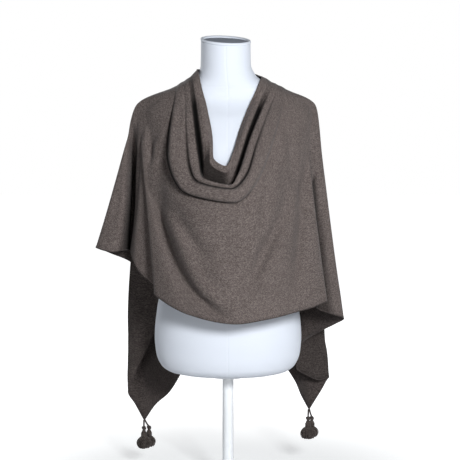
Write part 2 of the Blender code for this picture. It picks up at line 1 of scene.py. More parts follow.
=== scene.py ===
"""Dressed scene of a knitted cowl-neck poncho on a limbless dress form.

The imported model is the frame: metres, +Z up, the garment's front facing -Y.
Tables are in millimetres. The cloth is one surface that runs all the way round
the form, from the neck edge down to the hem, and is given a thin wall.
"""
import logging
import math
from dataclasses import dataclass, field
from enum import Enum
from typing import Callable, Iterable, NamedTuple, Sequence

import bmesh
import bpy
import numpy as np
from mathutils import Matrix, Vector
from mathutils.bvhtree import BVHTree


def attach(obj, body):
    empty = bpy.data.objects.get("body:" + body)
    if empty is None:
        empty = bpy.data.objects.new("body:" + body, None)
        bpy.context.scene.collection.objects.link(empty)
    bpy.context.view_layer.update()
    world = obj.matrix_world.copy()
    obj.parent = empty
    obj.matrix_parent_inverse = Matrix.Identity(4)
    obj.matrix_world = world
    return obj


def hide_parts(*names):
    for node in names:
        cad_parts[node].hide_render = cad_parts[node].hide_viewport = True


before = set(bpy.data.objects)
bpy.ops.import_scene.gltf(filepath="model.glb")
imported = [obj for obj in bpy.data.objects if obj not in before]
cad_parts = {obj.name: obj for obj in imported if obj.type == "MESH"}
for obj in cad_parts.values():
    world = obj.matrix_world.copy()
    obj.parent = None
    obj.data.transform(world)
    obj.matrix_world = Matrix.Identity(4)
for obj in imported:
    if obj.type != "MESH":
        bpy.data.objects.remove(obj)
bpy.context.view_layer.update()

LOG = logging.getLogger("poncho")
MM = 0.001
BODY = "root"
PAINTED_SHADE = "hollow"               # the cloth's attribute of painted shade: how far its colour is darkened, 0 to 1
SETTLE = 0.65                   # how far the draped cloth is let down onto the shoulders, in mm
TINY = 1e-9                     # what two equal places may differ by
Point = tuple[float, float, float]
Profile = Sequence[tuple[float, float]]
Mesh, Piece, Material = bpy.types.Mesh, bpy.types.Object, bpy.types.Material
Tree, Node, Socket = bpy.types.NodeTree, bpy.types.Node, bpy.types.NodeSocket


# ---------------------------------------------------------------- small helpers

def smooth_through(knots: Iterable[float], values: Iterable, query: Iterable[float]) -> np.ndarray:
    """Read a monotone cubic curve through the knots; no value overshoots its neighbours.

    Args:
        knots: increasing places of the known values.
        values: one number or row of numbers for each knot.
        query: the places to read.

    Returns:
        One row of values for each place in query.
    """
    knots = np.asarray(list(knots), dtype=float)
    values = np.asarray(values, dtype=float).reshape(len(knots), -1)
    query = np.atleast_1d(np.asarray(query, dtype=float))
    steps = np.diff(knots)[:, None]
    rises = np.diff(values, axis=0) / steps
    slopes = np.zeros_like(values)
    slopes[0] = rises[0]
    slopes[-1] = rises[-1]
    before, after = rises[:-1], rises[1:]
    weight_before = 2 * steps[1:] + steps[:-1]
    weight_after = steps[1:] + 2 * steps[:-1]
    same_sign = before * after > 0
    safe_before = np.where(same_sign, before, 1.0)
    safe_after = np.where(same_sign, after, 1.0)
    mean = (weight_before + weight_after) / (weight_before / safe_before + weight_after / safe_after)
    slopes[1:-1] = np.where(same_sign, mean, 0.0)
    spans = np.clip(np.searchsorted(knots, query, side="right") - 1, 0, len(knots) - 2)
    width = steps[spans]
    part = (query[:, None] - knots[spans][:, None]) / width
    square, cube = part ** 2, part ** 3
    return (
        values[spans] * (2 * cube - 3 * square + 1)
        + slopes[spans] * width * (cube - 2 * square + part)
        + values[spans + 1] * (3 * square - 2 * cube)
        + slopes[spans + 1] * width * (cube - square)
    )


def linear(hex_colour: str) -> tuple[float, float, float, float]:
    """Turn an sRGB hex value such as "#8a7f7c" into a linear colour with alpha 1.

    Args:
        hex_colour: two hex digits each of red, green and blue.

    Returns:
        Red, green, blue and alpha.
    """
    shares = [int(hex_colour[i:i + 2], 16) / 255 for i in (1, 3, 5)]
    straight = [s / 12.92 if s <= 0.04045 else ((s + 0.055) / 1.055) ** 2.4 for s in shares]
    return (*straight, 1.0)


def within(values: np.ndarray, low: float, high: float, fade: float) -> np.ndarray:
    """Give 1 well inside a span and 0 outside it, fading at each of its borders."""
    return np.clip((values - low) / fade, 0, 1) * np.clip((high - values) / fade, 0, 1)


def unit(vectors: np.ndarray) -> np.ndarray:
    """Bring the vectors along the last axis to a length of 1; one without length stays so."""
    return vectors / np.maximum(np.linalg.norm(vectors, axis=-1, keepdims=True), TINY)


def ring_angles(count: int) -> np.ndarray:
    """Give evenly spread angles round a circle, without the closing one."""
    return np.linspace(0, 2 * math.pi, count, endpoint=False)


def mesh_object(name: str, mesh: Mesh, material: Material | None = None) -> Piece:
    """Put a mesh in the scene as a named object with a material.

    Args:
        name: the piece's name.
        mesh: its mesh.
        material: its finish, if its mesh has none yet.

    Returns:
        The object, at the origin.
    """
    mesh.name = name
    piece = bpy.data.objects.new(name, mesh)
    bpy.context.scene.collection.objects.link(piece)
    if material:
        mesh.materials.append(material)
    return piece


def mesh_from(build: Callable[[bmesh.types.BMesh], None]) -> Mesh:
    """Run a function on a new bmesh, point its faces outwards and return it as a smooth mesh.

    Args:
        build: the function that fills the bmesh.

    Returns:
        The mesh.
    """
    shape = bmesh.new()
    build(shape)
    bmesh.ops.recalc_face_normals(shape, faces=shape.faces)
    mesh = bpy.data.meshes.new("mesh")
    shape.to_mesh(mesh)
    shape.free()
    mesh.shade_smooth()
    return mesh


def add_loft(shape: bmesh.types.BMesh, rings: Sequence[Sequence[Point]], capped: bool = True) -> None:
    """Skin a stack of closed rings.

    Args:
        shape: the bmesh that takes the faces.
        rings: rings with the same number of points.
        capped: close both ends; otherwise the last ring is joined to the first.
    """
    loops = [[shape.verts.new(point) for point in ring] for ring in rings]
    uppers = loops[1:] if capped else loops[1:] + loops[:1]
    for lower, upper in zip(loops, uppers):
        for i in range(len(lower)):
            j = (i + 1) % len(lower)
            shape.faces.new((lower[i], lower[j], upper[j], upper[i]))
    if capped:
        shape.faces.new(loops[0][::-1])
        shape.faces.new(loops[-1])


def tube_rings(path: Sequence[Vector], radius: float, sides: int) -> list[list[Vector]]:
    """Give the rings of a tube of even radius along a path of vectors.

    Args:
        path: points of the tube's middle line.
        radius: the tube's radius, in the path's own units.
        sides: points in each ring.

    Returns:
        One ring of vectors for each point of the path.
    """
    rings = []
    across = Vector((1, 0, 0))
    for number, point in enumerate(path):
        ahead = (path[min(number + 1, len(path) - 1)] - path[max(number - 1, 0)]).normalized()
        across = (across - ahead * across.dot(ahead)).normalized()
        other = ahead.cross(across)
        rings.append([point + (across * math.cos(a) + other * math.sin(a)) * radius
                      for a in ring_angles(sides)])
    return rings


def loft_object(name: str, rings: Sequence[Sequence[Point]], material: Material, capped: bool = True,
                sharp: float | None = None) -> Piece:
    """Skin a stack of closed rings into a smooth piece.

    Args:
        name: the piece's name.
        rings: the rings, in metres.
        material: its finish.
        capped: close both ends; otherwise the last ring is joined to the first.
        sharp: edges that turn by more than this many degrees stay sharp.

    Returns:
        The finished piece.
    """
    mesh = mesh_from(lambda shape: add_loft(shape, rings, capped))
    if sharp:
        mesh.set_sharp_from_angle(angle=math.radians(sharp))
    return mesh_object(name, mesh, material)


# ---------------------------------------------------------------- node trees

def set_node(node: Node, values: dict) -> Node:
    """Set a node's attributes and inputs.

    Args:
        node: the node to set.
        values: by attribute, or by input name or number, a plain value, an output socket
            to join, or a node whose first output is joined.

    Returns:
        The same node.
    """
    for key, value in values.items():
        if isinstance(value, (Node, Socket)):
            source = value.outputs[0] if isinstance(value, Node) else value
            node.id_data.links.new(source, node.inputs[key])
        elif isinstance(key, str) and hasattr(node, key):
            setattr(node, key, value)
        else:
            node.inputs[key].default_value = value
    return node


def add_node(tree: Tree, kind: str, values: dict | None = None) -> Node:
    """Add one node of a kind, with its settings and incoming links as in set_node."""
    return set_node(tree.nodes.new(kind), values or {})


def set_ramp(ramp: Node, stops: Iterable[tuple[float, str]]) -> None:
    """Set a colour ramp's stops from (place, hex colour) pairs.

    Args:
        ramp: the colour ramp node.
        stops: its stops from left to right.
    """
    elements = ramp.color_ramp.elements
    for number, (place, colour) in enumerate(stops):
        element = elements[number] if number < len(elements) else elements.new(place)
        element.position = place
        element.color = linear(colour)


class Placing(Enum):
    """Where a pattern takes its coordinates from."""

    SURFACE = "UV"
    OBJECT = "Object"


@dataclass(frozen=True)
class Finish:
    """What every finish has: its name, main colour and how rough it is."""

    name: str
    colour: str
    roughness: float

    def begin(self) -> tuple[Material, Tree, Node]:
        """Start a material and give it with its tree and shader node.

        Returns:
            The material, its node tree and its shader node.
        """
        material = bpy.data.materials.new(self.name)
        material.use_nodes = True
        material.diffuse_color = linear(self.colour)
        shader = material.node_tree.nodes["Principled BSDF"]
        set_node(shader, {"Base Color": linear(self.colour), "Roughness": self.roughness})
        return material, material.node_tree, shader

    def millimetres(self, tree: Tree, placing: Placing, stretch: Point = (1, 1, 1)) -> Node:
        """Give pattern coordinates in millimetres, times a stretch along each axis.

        Args:
            tree: the material's tree.
            placing: what the pattern follows.
            stretch: more than 1 draws the pattern finer along that axis.

        Returns:
            The mapping node.
        """
        place = add_node(tree, "ShaderNodeTexCoord")
        scale = tuple(part / MM for part in stretch)
        return add_node(tree, "ShaderNodeMapping", {"Scale": scale, "Vector": place.outputs[placing.value]})


@dataclass(frozen=True)
class HeatherKnit(Finish):
    """Fine melange jersey of cotton and viscose.

    Dark, mid and pale fibres are spun into one yarn, so the eye sees flecks a
    millimetre or two long over a taupe ground, faint upright wales, no gloss and
    a soft halo of fibre ends. The flecks and stitches are drawn about twice as
    coarse as they are, because finer ones would vanish in the picture.
    """

    dark: str = "#4a413e"
    pale: str = "#7b716c"
    stops: Point = (0.30, 0.50, 0.70)
    fleck_mm: float = 1.3
    fleck_stretch: Point = (0.75, 1.0, 1.0)
    cell_mm: float = 1.5
    cell_share: float = 0.34
    cloud_mm: float = 60.0
    cloud_tones: tuple[float, float] = (0.94, 1.06)
    wale_mm: float = 2.6
    wale_height: float = 0.9
    course_mm: float = 2.2
    fuzz_height: float = 0.8
    stitch_height_mm: float = 0.35
    stitch_strength: float = 0.13
    sheen: float = 0.08
    sheen_roughness: float = 0.55
    specular: float = 0.15
    placing: Placing = Placing.SURFACE

    def make(self) -> Material:
        """Build the material.

        Returns:
            The new material.
        """
        material, tree, shader = self.begin()
        place = self.millimetres(tree, self.placing)
        lengthened = self.millimetres(tree, self.placing, self.fleck_stretch)
        flecks = add_node(tree, "ShaderNodeTexNoise", {
            "Scale": 1 / self.fleck_mm, "Detail": 3.0, "Roughness": 0.62, "Vector": lengthened})
        cells = add_node(tree, "ShaderNodeTexVoronoi", {"Scale": 1 / self.cell_mm, "Vector": lengthened})
        tone = add_node(tree, "ShaderNodeSeparateXYZ", {"Vector": cells.outputs["Color"]})
        mixed = add_node(tree, "ShaderNodeMix", {
            "data_type": "FLOAT", 0: self.cell_share, 2: flecks, 3: tone})
        ground = add_node(tree, "ShaderNodeValToRGB", {"Fac": mixed})
        set_ramp(ground, zip(self.stops, (self.dark, self.colour, self.pale)))
        clouds = add_node(tree, "ShaderNodeTexNoise", {
            "Scale": 1 / self.cloud_mm, "Detail": 2.0, "Vector": place})
        shade = add_node(tree, "ShaderNodeMapRange", {
            "From Min": 0.3, "From Max": 0.7, "To Min": self.cloud_tones[0], "To Max": self.cloud_tones[1],
            "Value": clouds})
        clouded = add_node(tree, "ShaderNodeVectorMath", {"operation": "SCALE", 0: ground, "Scale": shade})
        # Painted shade: the cloth's painted-shade attribute darkens the colour and the sheen.
        hollow = add_node(tree, "ShaderNodeAttribute", {"attribute_name": PAINTED_SHADE})
        lit = add_node(tree, "ShaderNodeMath", {"operation": "SUBTRACT", 0: 1.0, 1: hollow.outputs["Fac"]})
        dimmed = add_node(tree, "ShaderNodeVectorMath", {"operation": "SCALE", 0: clouded, "Scale": lit})
        sheen = add_node(tree, "ShaderNodeMath", {"operation": "MULTIPLY", 0: lit, 1: self.sheen})
        set_node(shader, {
            "Base Color": dimmed, "Normal": self.stitches(tree, place, flecks), "Sheen Weight": sheen,
            "Sheen Roughness": self.sheen_roughness, "Specular IOR Level": self.specular})
        return material

    def stitches(self, tree: Tree, place: Node, flecks: Node) -> Node:
        """Raise rows of chevron stitches, each wale a column of them.

        Args:
            tree: the material's tree.
            place: the coordinates in millimetres.
            flecks: the noise that roughens the stitches.

        Returns:
            The bump node.
        """
        axes = add_node(tree, "ShaderNodeSeparateXYZ", {"Vector": place})
        across = add_node(tree, "ShaderNodeMath", {
            "operation": "PINGPONG", 0: axes.outputs["X"], 1: self.wale_mm / 2})
        slanted = add_node(tree, "ShaderNodeMath", {"operation": "ADD", 0: axes.outputs["Y"], 1: across})
        turns = add_node(tree, "ShaderNodeMath", {
            "operation": "MULTIPLY", 0: slanted, 1: 2 * math.pi / self.course_mm})
        rows = add_node(tree, "ShaderNodeMath", {"operation": "SINE", 0: turns})
        wales = add_node(tree, "ShaderNodeMath", {
            "operation": "MULTIPLY_ADD", 0: across, 1: self.wale_height, 2: rows})
        fuzzy = add_node(tree, "ShaderNodeMath", {
            "operation": "MULTIPLY_ADD", 0: flecks, 1: self.fuzz_height, 2: wales})
        return add_node(tree, "ShaderNodeBump", {
            "Strength": self.stitch_strength, "Distance": self.stitch_height_mm * MM, "Height": fuzzy})


@dataclass(frozen=True)
class TasselYarn(Finish):
    """The same melange yarn left loose: matt, with a twisted ply, and darker where the ply is low: painted
    shade between its strands.
    """

    # The colour of the painted shade between the strands.
    dark: str = "#312a28"
    ply_mm: float = 1.6
    ply_stretch: Point = (1.0, 1.0, 0.5)
    ply_height_mm: float = 0.4
    ply_strength: float = 0.5
    stops: tuple[float, float] = (0.35, 0.65)
    sheen: float = 0.12
    specular: float = 0.15

    def make(self) -> Material:
        """Build the material.

        Returns:
            The new material.
        """
        material, tree, shader = self.begin()
        ply = add_node(tree, "ShaderNodeTexNoise", {
            "Scale": 1 / self.ply_mm, "Detail": 2.0,
            "Vector": self.millimetres(tree, Placing.OBJECT, self.ply_stretch)})
        # Painted shade: the ply's low places, between the strands, take the dark colour.
        tones = add_node(tree, "ShaderNodeValToRGB", {"Fac": ply})
        set_ramp(tones, zip(self.stops, (self.dark, self.colour)))
        bump = add_node(tree, "ShaderNodeBump", {
            "Strength": self.ply_strength, "Distance": self.ply_height_mm * MM, "Height": ply})
        set_node(shader, {"Base Color": tones, "Normal": bump,
                          "Sheen Weight": self.sheen, "Specular IOR Level": self.specular})
        return material


@dataclass(frozen=True)
class GrainedFinish(Finish):
    """A plain surface with a fine grain: stretched jersey, moulded plastic, powder coat or paper.

    The grain gives the eye a soft break-up of the highlight and a very slight
    unevenness of tone, far weaker than a pattern.
    """

    grain_mm: float = 1.5
    grain_height_mm: float = 0.05
    tone: float = 0.02
    sheen: float = 0.0
    grain_strength: float = 0.4

    def make(self) -> Material:
        """Build the material.

        Returns:
            The new material.
        """
        material, tree, shader = self.begin()
        grain = add_node(tree, "ShaderNodeTexNoise", {
            "Scale": 1 / self.grain_mm, "Detail": 3.0, "Vector": self.millimetres(tree, Placing.OBJECT)})
        shade = add_node(tree, "ShaderNodeMapRange", {
            "To Min": 1 - self.tone, "To Max": 1 + self.tone, "Value": grain})
        tinted = add_node(tree, "ShaderNodeVectorMath", {
            "operation": "SCALE", 0: linear(self.colour)[:3], "Scale": shade})
        bump = add_node(tree, "ShaderNodeBump", {
            "Strength": self.grain_strength, "Distance": self.grain_height_mm * MM, "Height": grain})
        set_node(shader, {"Base Color": tinted, "Normal": bump, "Sheen Weight": self.sheen})
        return material


@dataclass(frozen=True)
class Palette:
    """The object's finishes, each made once."""

    knit: Material
    # The knit darkened for the cloth's inner side: painted shade.
    knit_reverse_painted_shade: Material
    knit_plain: Material
    # The knit darkened for the hem's roll: painted shade.
    knit_hem_painted_shade: Material
    yarn: Material
    cover: Material
    cap: Material
    enamel: Material


def make_palette() -> Palette:
    """Make every finish of the object.

    Returns:
        The palette.
    """
    return Palette(
        knit=HeatherKnit("heather jersey knit", "#605653", 0.92).make(),
        # The same knit, darkened for the cloth's inner side: painted shade.
        knit_reverse_painted_shade=HeatherKnit("heather jersey reverse, painted shade", "#3d3634", 0.95, "#2b2624", "#504845").make(),
        knit_plain=HeatherKnit("heather knit edge", "#605653", 0.92, placing=Placing.OBJECT).make(),
        # The hem's roll, darkened: a painted shade line under the hem.
        knit_hem_painted_shade=HeatherKnit("heather knit hem in shade", "#413937", 0.95, "#2e2927", "#544b48",
                             placing=Placing.OBJECT).make(),
        yarn=TasselYarn("loose melange yarn", "#5a514d", 0.95).make(),
        # A stretched polyester jersey over foam: clean cool white, almost without gloss.
        cover=GrainedFinish("stretched jersey cover", "#e2e6ef", 0.75,
                            grain_mm=1.1, tone=0.012, sheen=0.1).make(),
        # A moulded ABS disc with a satin face.
        cap=GrainedFinish("satin moulded disc", "#a0a4b0", 0.5, grain_mm=0.8, grain_height_mm=0.03).make(),
        # Powder-coated steel: white, satin, with a slight orange-peel skin.
        enamel=GrainedFinish("white powder coat", "#f4f5f7", 0.4,
                             grain_mm=2.5, grain_height_mm=0.04, tone=0.008).make(),
    )


# ---------------------------------------------------------------- geometry nodes

# The kind of input that each type of value gets.
SOCKET_KINDS = {
    float: "NodeSocketFloat",
    int: "NodeSocketInt",
    tuple: "NodeSocketVector",
    Material: "NodeSocketMaterial",
}


class NodeBuild:
    """A geometry node tree with named inputs, run on one mesh to make one piece."""

    def __init__(self, name: str, values: dict[str, object]) -> None:
        """Start a tree that has a mesh going in, a mesh coming out and a named input for each value.

        Args:
            name: the name of the tree and of the piece.
            values: each input's name and value, with one called Material.
        """
        self.name = name
        self.tree = bpy.data.node_groups.new(name, "GeometryNodeTree")
        self.values: dict[str, object] = {}
        for way in ("INPUT", "OUTPUT"):
            self.tree.interface.new_socket("Geometry", in_out=way, socket_type="NodeSocketGeometry")
        for label, value in values.items():
            kind = SOCKET_KINDS[type(value)]
            item = self.tree.interface.new_socket(label, in_out="INPUT", socket_type=kind)
            self.values[item.identifier] = value
        self.inputs = add_node(self.tree, "NodeGroupInput").outputs

    def node(self, kind: str, values: dict | None = None) -> Node:
        """Add a node to the tree."""
        return add_node(self.tree, kind, values)

    def make(self, geometry: Node, carrier: Mesh) -> Piece:
        """Close the tree, evaluate it on a mesh and keep the result.

        Args:
            geometry: the node that gives the finished shape.
            carrier: the mesh that goes into the tree.

        Returns:
            A plain mesh object, with no modifier left on it.
        """
        realized = self.node("GeometryNodeRealizeInstances", {"Geometry": geometry})
        smooth = self.node("GeometryNodeSetShadeSmooth", {"Geometry": realized})
        dressed = self.node("GeometryNodeSetMaterial", {
            "Geometry": smooth, "Material": self.inputs["Material"]})
        self.node("NodeGroupOutput", {"Geometry": dressed})
        host = mesh_object(self.name + "_host", carrier)
        modifier = host.modifiers.new(self.name, "NODES")
        modifier.node_group = self.tree
        for identifier, value in self.values.items():
            modifier[identifier] = value
        evaluated = host.evaluated_get(bpy.context.evaluated_depsgraph_get())
        mesh = bpy.data.meshes.new_from_object(evaluated)
        bpy.data.objects.remove(host)
        return mesh_object(self.name, mesh)


def path_mesh(points: Sequence[Point], closed: bool) -> Mesh:
    """Make a mesh of edges alone along a path of points, in metres.

    Args:
        points: the points in order.
        closed: whether the last one is joined to the first.

    Returns:
        The mesh.
    """
    mesh = bpy.data.meshes.new("path")
    edges = [(i, i + 1) for i in range(len(points) - 1)]
    if closed:
        edges.append((len(points) - 1, 0))
    mesh.from_pydata([tuple(point) for point in points], edges, [])
    return mesh


def edge_roll(name: str, loop: Sequence[Point], radius_mm: float, material: Material) -> Piece:
    """Run a small round edge along a loop, as a knitted edge curls.

    Args:
        name: the piece's name.
        loop: the points of the loop, in metres.
        radius_mm: the roll's radius.
        material: its finish.

    Returns:
        The finished piece.
    """
    build = NodeBuild(name, {"Radius": radius_mm * MM, "Material": material})
    path = build.node("GeometryNodeMeshToCurve", {"Mesh": build.inputs["Geometry"]})
    section = build.node("GeometryNodeCurvePrimitiveCircle", {
        "Resolution": 8, "Radius": build.inputs["Radius"]})
    roll = build.node("GeometryNodeCurveToMesh", {"Curve": path, "Profile Curve": section, "Fill Caps": True})
    return build.make(roll, path_mesh(loop, closed=True))


def stitch_line(name: str, points: Sequence[Point], closed: bool, pitch_mm: float, size_mm: Point,
                material: Material) -> Piece:
    """Lay small padded stitches along a path.

    Args:
        name: the piece's name.
        points: the path, in metres.
        closed: whether the path is a loop.
        pitch_mm: distance from one stitch to the next.
        size_mm: a stitch's width, height and length.
        material: its finish.

    Returns:
        The finished piece.
    """
    size = tuple(part * MM for part in size_mm)
    build = NodeBuild(name, {"Pitch": pitch_mm * MM, "Stitch Size": size, "Material": material})
    path = build.node("GeometryNodeMeshToCurve", {"Mesh": build.inputs["Geometry"]})
    places = build.node("GeometryNodeResampleCurve", {
        "mode": "LENGTH", "Curve": path, "Length": build.inputs["Pitch"]})
    bead = build.node("GeometryNodeMeshIcoSphere", {"Radius": 0.5, "Subdivisions": 2})
    along = build.node("GeometryNodeInputTangent")
    turned = build.node("FunctionNodeAlignRotationToVector", {"axis": "Z", "Vector": along})
    laid = build.node("GeometryNodeInstanceOnPoints", {
        "Points": places, "Instance": bead, "Rotation": turned, "Scale": build.inputs["Stitch Size"]})
    return build.make(laid, path_mesh(points, closed))


# ---------------------------------------------------------------- dress form

class Section(NamedTuple):
    """One level of the dress form: half width and depths, in mm."""

    name: str
    level: float
    half_width: float
    front: float
    back: float


TORSO_SECTIONS = tuple(Section(*row) for row in (
    ("underside", 250, 112, 70, 66),
    ("lower corner", 256, 134, 88, 84),
    ("corner", 270, 152, 102, 96),
    ("above corner", 298, 163, 110, 104),
    ("hip", 335, 166, 113, 108),
    ("high hip", 400, 160, 108, 106),
    ("below waist", 470, 143, 96, 92),
    ("waist", 535, 130, 88, 80),
    ("ribs", 600, 138, 96, 84),
    ("under bust", 665, 152, 112, 92),
    ("bust", 715, 162, 122, 98),
    ("chest", 765, 174, 112, 104),
    ("high chest", 805, 180, 94, 102),
    ("shoulder end", 830, 183, 80, 90),
    ("shoulder edge", 845, 179, 68, 78),
    ("outer shoulder", 858, 166, 59, 66),
    ("mid shoulder", 871, 150, 54, 60),
    ("shoulder", 882, 128, 54, 58),
    ("inner shoulder", 893, 106, 55, 58),
    ("neck curve", 905, 85, 55, 57),
    ("neck root", 921, 65, 54, 55),
    ("neck", 944, 56, 53, 52),
    ("neck top", 994, 55, 52, 51),
))


@dataclass
class DressForm:
    """The limbless form: a foam torso in a stretched cover, its neck closed by a sunk disc."""

    sections: tuple[Section, ...] = TORSO_SECTIONS
    shoulder_end_level: float = 830
    neck_level: float = 944
    neck_lean: float = -5.0
    neck_lean_start: float = 893
    neck_lean_rise: float = 50
    neck_tilt: float = math.radians(11.0)
    neck_roll: float = math.radians(-3.0)
    columns: int = 144
    level_step: float = 5.0
    seam_level: float = 896
    seam_depth: float = 0.45
    seam_width: float = 1.3
    seam_rows: Sequence[float] = (-2.4, -1.2, 0.0, 1.2, 2.4)
    seam_degrees: Sequence[float] = (0.0, 0.35, 0.75, 1.3)
    corner_height: float = 22
    corner_step: float = 1.5
    rim_height: float = 7.0
    rim_width: float = 6.0
    rim_lip: float = 1.0
    rim_foot: float = 0.3
    rim_bow: float = 0.55
    rim_rise: float = 0.2
    rim_corner: Profile = ((1.5, 1.0), (0.0, 2.6))      # out from its inside and down from its top
    disc_sink: float = 4.0
    disc_edge: float = 0.8
    disc_play: float = 0.2
    disc_dome: tuple[float, float] = (12, 0.3)          # in from its edge and up
    sharp: float = 50
    pieces: list[Piece] = field(default_factory=list)

    def size_at(self, level: np.ndarray | float) -> np.ndarray:
        """Give half width, front depth and back depth at each level, in mm.

        Args:
            level: heights in mm.

        Returns:
            One row of the three sizes for each level.
        """
        sizes = [(row.half_width, row.front, row.back) for row in self.sections]
        levels = [row.level for row in self.sections]
        return smooth_through(levels, sizes, np.clip(level, levels[0], levels[-1]))

    def shoulder_level(self, distance: Iterable[float]) -> np.ndarray:
        """Give the height of the shoulder line at each distance from the centre, in mm.

        Args:
            distance: distances sideways from the centre, in mm.

        Returns:
            One height for each distance.
        """
        rows = [row for row in self.sections if row.level >= self.shoulder_end_level][::-1]
        return smooth_through([row.half_width for row in rows], [row.level for row in rows],
                              np.clip(distance, rows[0].half_width, rows[-1].half_width))[:, 0]

    def front_depth(self, x: np.ndarray, z: np.ndarray) -> np.ndarray:
        """Give how far the torso's front lies from the middle plane at x, z, in mm."""
        size = self.size_at(z)
        return size[:, 1] * np.sqrt(np.clip(1 - (x / size[:, 0]) ** 2, 0, 1))

    def seamed_angles(self) -> np.ndarray:
        """Give the columns' angles, with extra ones beside the front and back seams.

        Returns:
            The angles in order, in radians.
        """
        extra = [centre + sign * step for centre in (math.pi / 2, 3 * math.pi / 2)
                 for step in np.radians(self.seam_degrees) for sign in (-1, 1)]
        return np.unique(np.round(np.concatenate((ring_angles(self.columns), extra)), 6))

    def ring(self, level: float, size: Sequence[float], angles: np.ndarray, tilt: float,
             seamed: bool = True) -> np.ndarray:
        """Give one ring of the form, in mm.

        Args:
            level: its height before the tilt.
            size: its half width, its depth in front and its depth behind.
            angles: one for each point.
            tilt: share of the neck's slant, from 0 to 1.
            seamed: whether the centre seams dent it.

        Returns:
            Points as rows of x, y, z.
        """
        half_width, front, back = size
        x = half_width * np.cos(angles)
        y = np.where(np.sin(angles) > 0, back, front) * np.sin(angles)
        if seamed:
            y -= np.sign(y) * np.exp(-(x / self.seam_width) ** 2) * self.seam_depth
        lean = self.neck_lean * np.clip((level - self.neck_lean_start) / self.neck_lean_rise, 0, 1)
        z = level + tilt * (y * math.tan(self.neck_tilt) + x * math.tan(self.neck_roll))
        return np.column_stack((x + lean, y, z))

    def make_torso(self, material: Material) -> Piece:
        """Loft the torso finely, with a dent along its sewn seams.

        Args:
            material: its finish.

        Returns:
            The finished piece.
        """
        lowest, highest = self.sections[0].level, self.sections[-1].level
        levels = np.arange(lowest, highest + TINY, self.level_step)
        seam = self.seam_level + np.array(self.seam_rows)
        corner = np.arange(lowest, lowest + self.corner_height, self.corner_step)
        levels = np.unique(np.round(np.concatenate((levels, seam, corner, (highest,))), 3))
        angles = self.seamed_angles()
        rings = []
        for level, size in zip(levels, self.size_at(levels)):
            dent = self.seam_depth * math.exp(-((level - self.seam_level) / self.seam_width) ** 2)
            tilt = float(np.clip((level - self.neck_level) / (highest - self.neck_level), 0, 1))
            rings.append(self.ring(level, size - dent, angles, tilt) * MM)
        return loft_object("form_torso", rings, material, sharp=self.sharp)

    def neck_rings(self, section: Profile, angles: np.ndarray) -> list[np.ndarray]:
        """Run a section round the neck's slanting top.

        Args:
            section: (distance outwards, height) pairs in mm.
            angles: one for each point of a ring.

        Returns:
            One ring for each pair, in metres.
        """
        _, level, *size = self.sections[-1]
        return [(self.ring(level, np.add(size, out), angles, tilt=1.0, seamed=False) + (0, 0, rise)) * MM
                for out, rise in section]

    def make_rim(self, material: Material) -> Piece:
        """Make the rounded rim where the cover is turned over the neck's edge.

        Args:
            material: its finish.

        Returns:
            The finished piece.
        """
        half, inside, foot = self.rim_height / 2, -self.rim_width, self.rim_foot
        section = [(0.0, foot)]
        for angle in np.linspace(-math.pi / 2, math.pi / 2, 9):
            section.append((self.rim_lip - half * (1 - math.cos(angle)) * self.rim_bow,
                            half + self.rim_rise + (half - foot) * math.sin(angle)))
        section += [(inside + along, self.rim_height - down) for along, down in self.rim_corner]
        section.append((inside, foot))
        rings = self.neck_rings(section, self.seamed_angles())
        return loft_object("form_neck_rim", rings, material, capped=False)

    def make_disc(self, material: Material) -> Piece:
        """Make the disc that is sunk inside the rim.

        Args:
            material: its finish.

        Returns:
            The finished piece.
        """
        high, edge = self.rim_height - self.disc_sink, -self.rim_width - self.disc_play
        chamfer, (across, rise) = self.disc_edge, self.disc_dome
        section = [(edge - 1, chamfer / 2), (edge, chamfer), (edge, high - chamfer), (edge - chamfer, high),
                   (edge - across, high + rise)]
        rings = self.neck_rings(section, ring_angles(self.columns))
        return loft_object("form_neck_disc", rings, material, sharp=self.sharp)

    def build(self, palette: Palette) -> None:
        """Build and dress the form's three pieces.

        Args:
            palette: the object's finishes.
        """
        torso = self.make_torso(palette.cover)
        rim = self.make_rim(palette.cover)
        disc = self.make_disc(palette.cap)
        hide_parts("torso")
        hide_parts("neck_cap")
        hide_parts("neck_cap")
        for piece, slot in ((torso, "form_cover"), (rim, "form_cover"), (disc, "neck_cap")):
            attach(piece, BODY)
        self.pieces = [torso, rim, disc]


# ---------------------------------------------------------------- stand

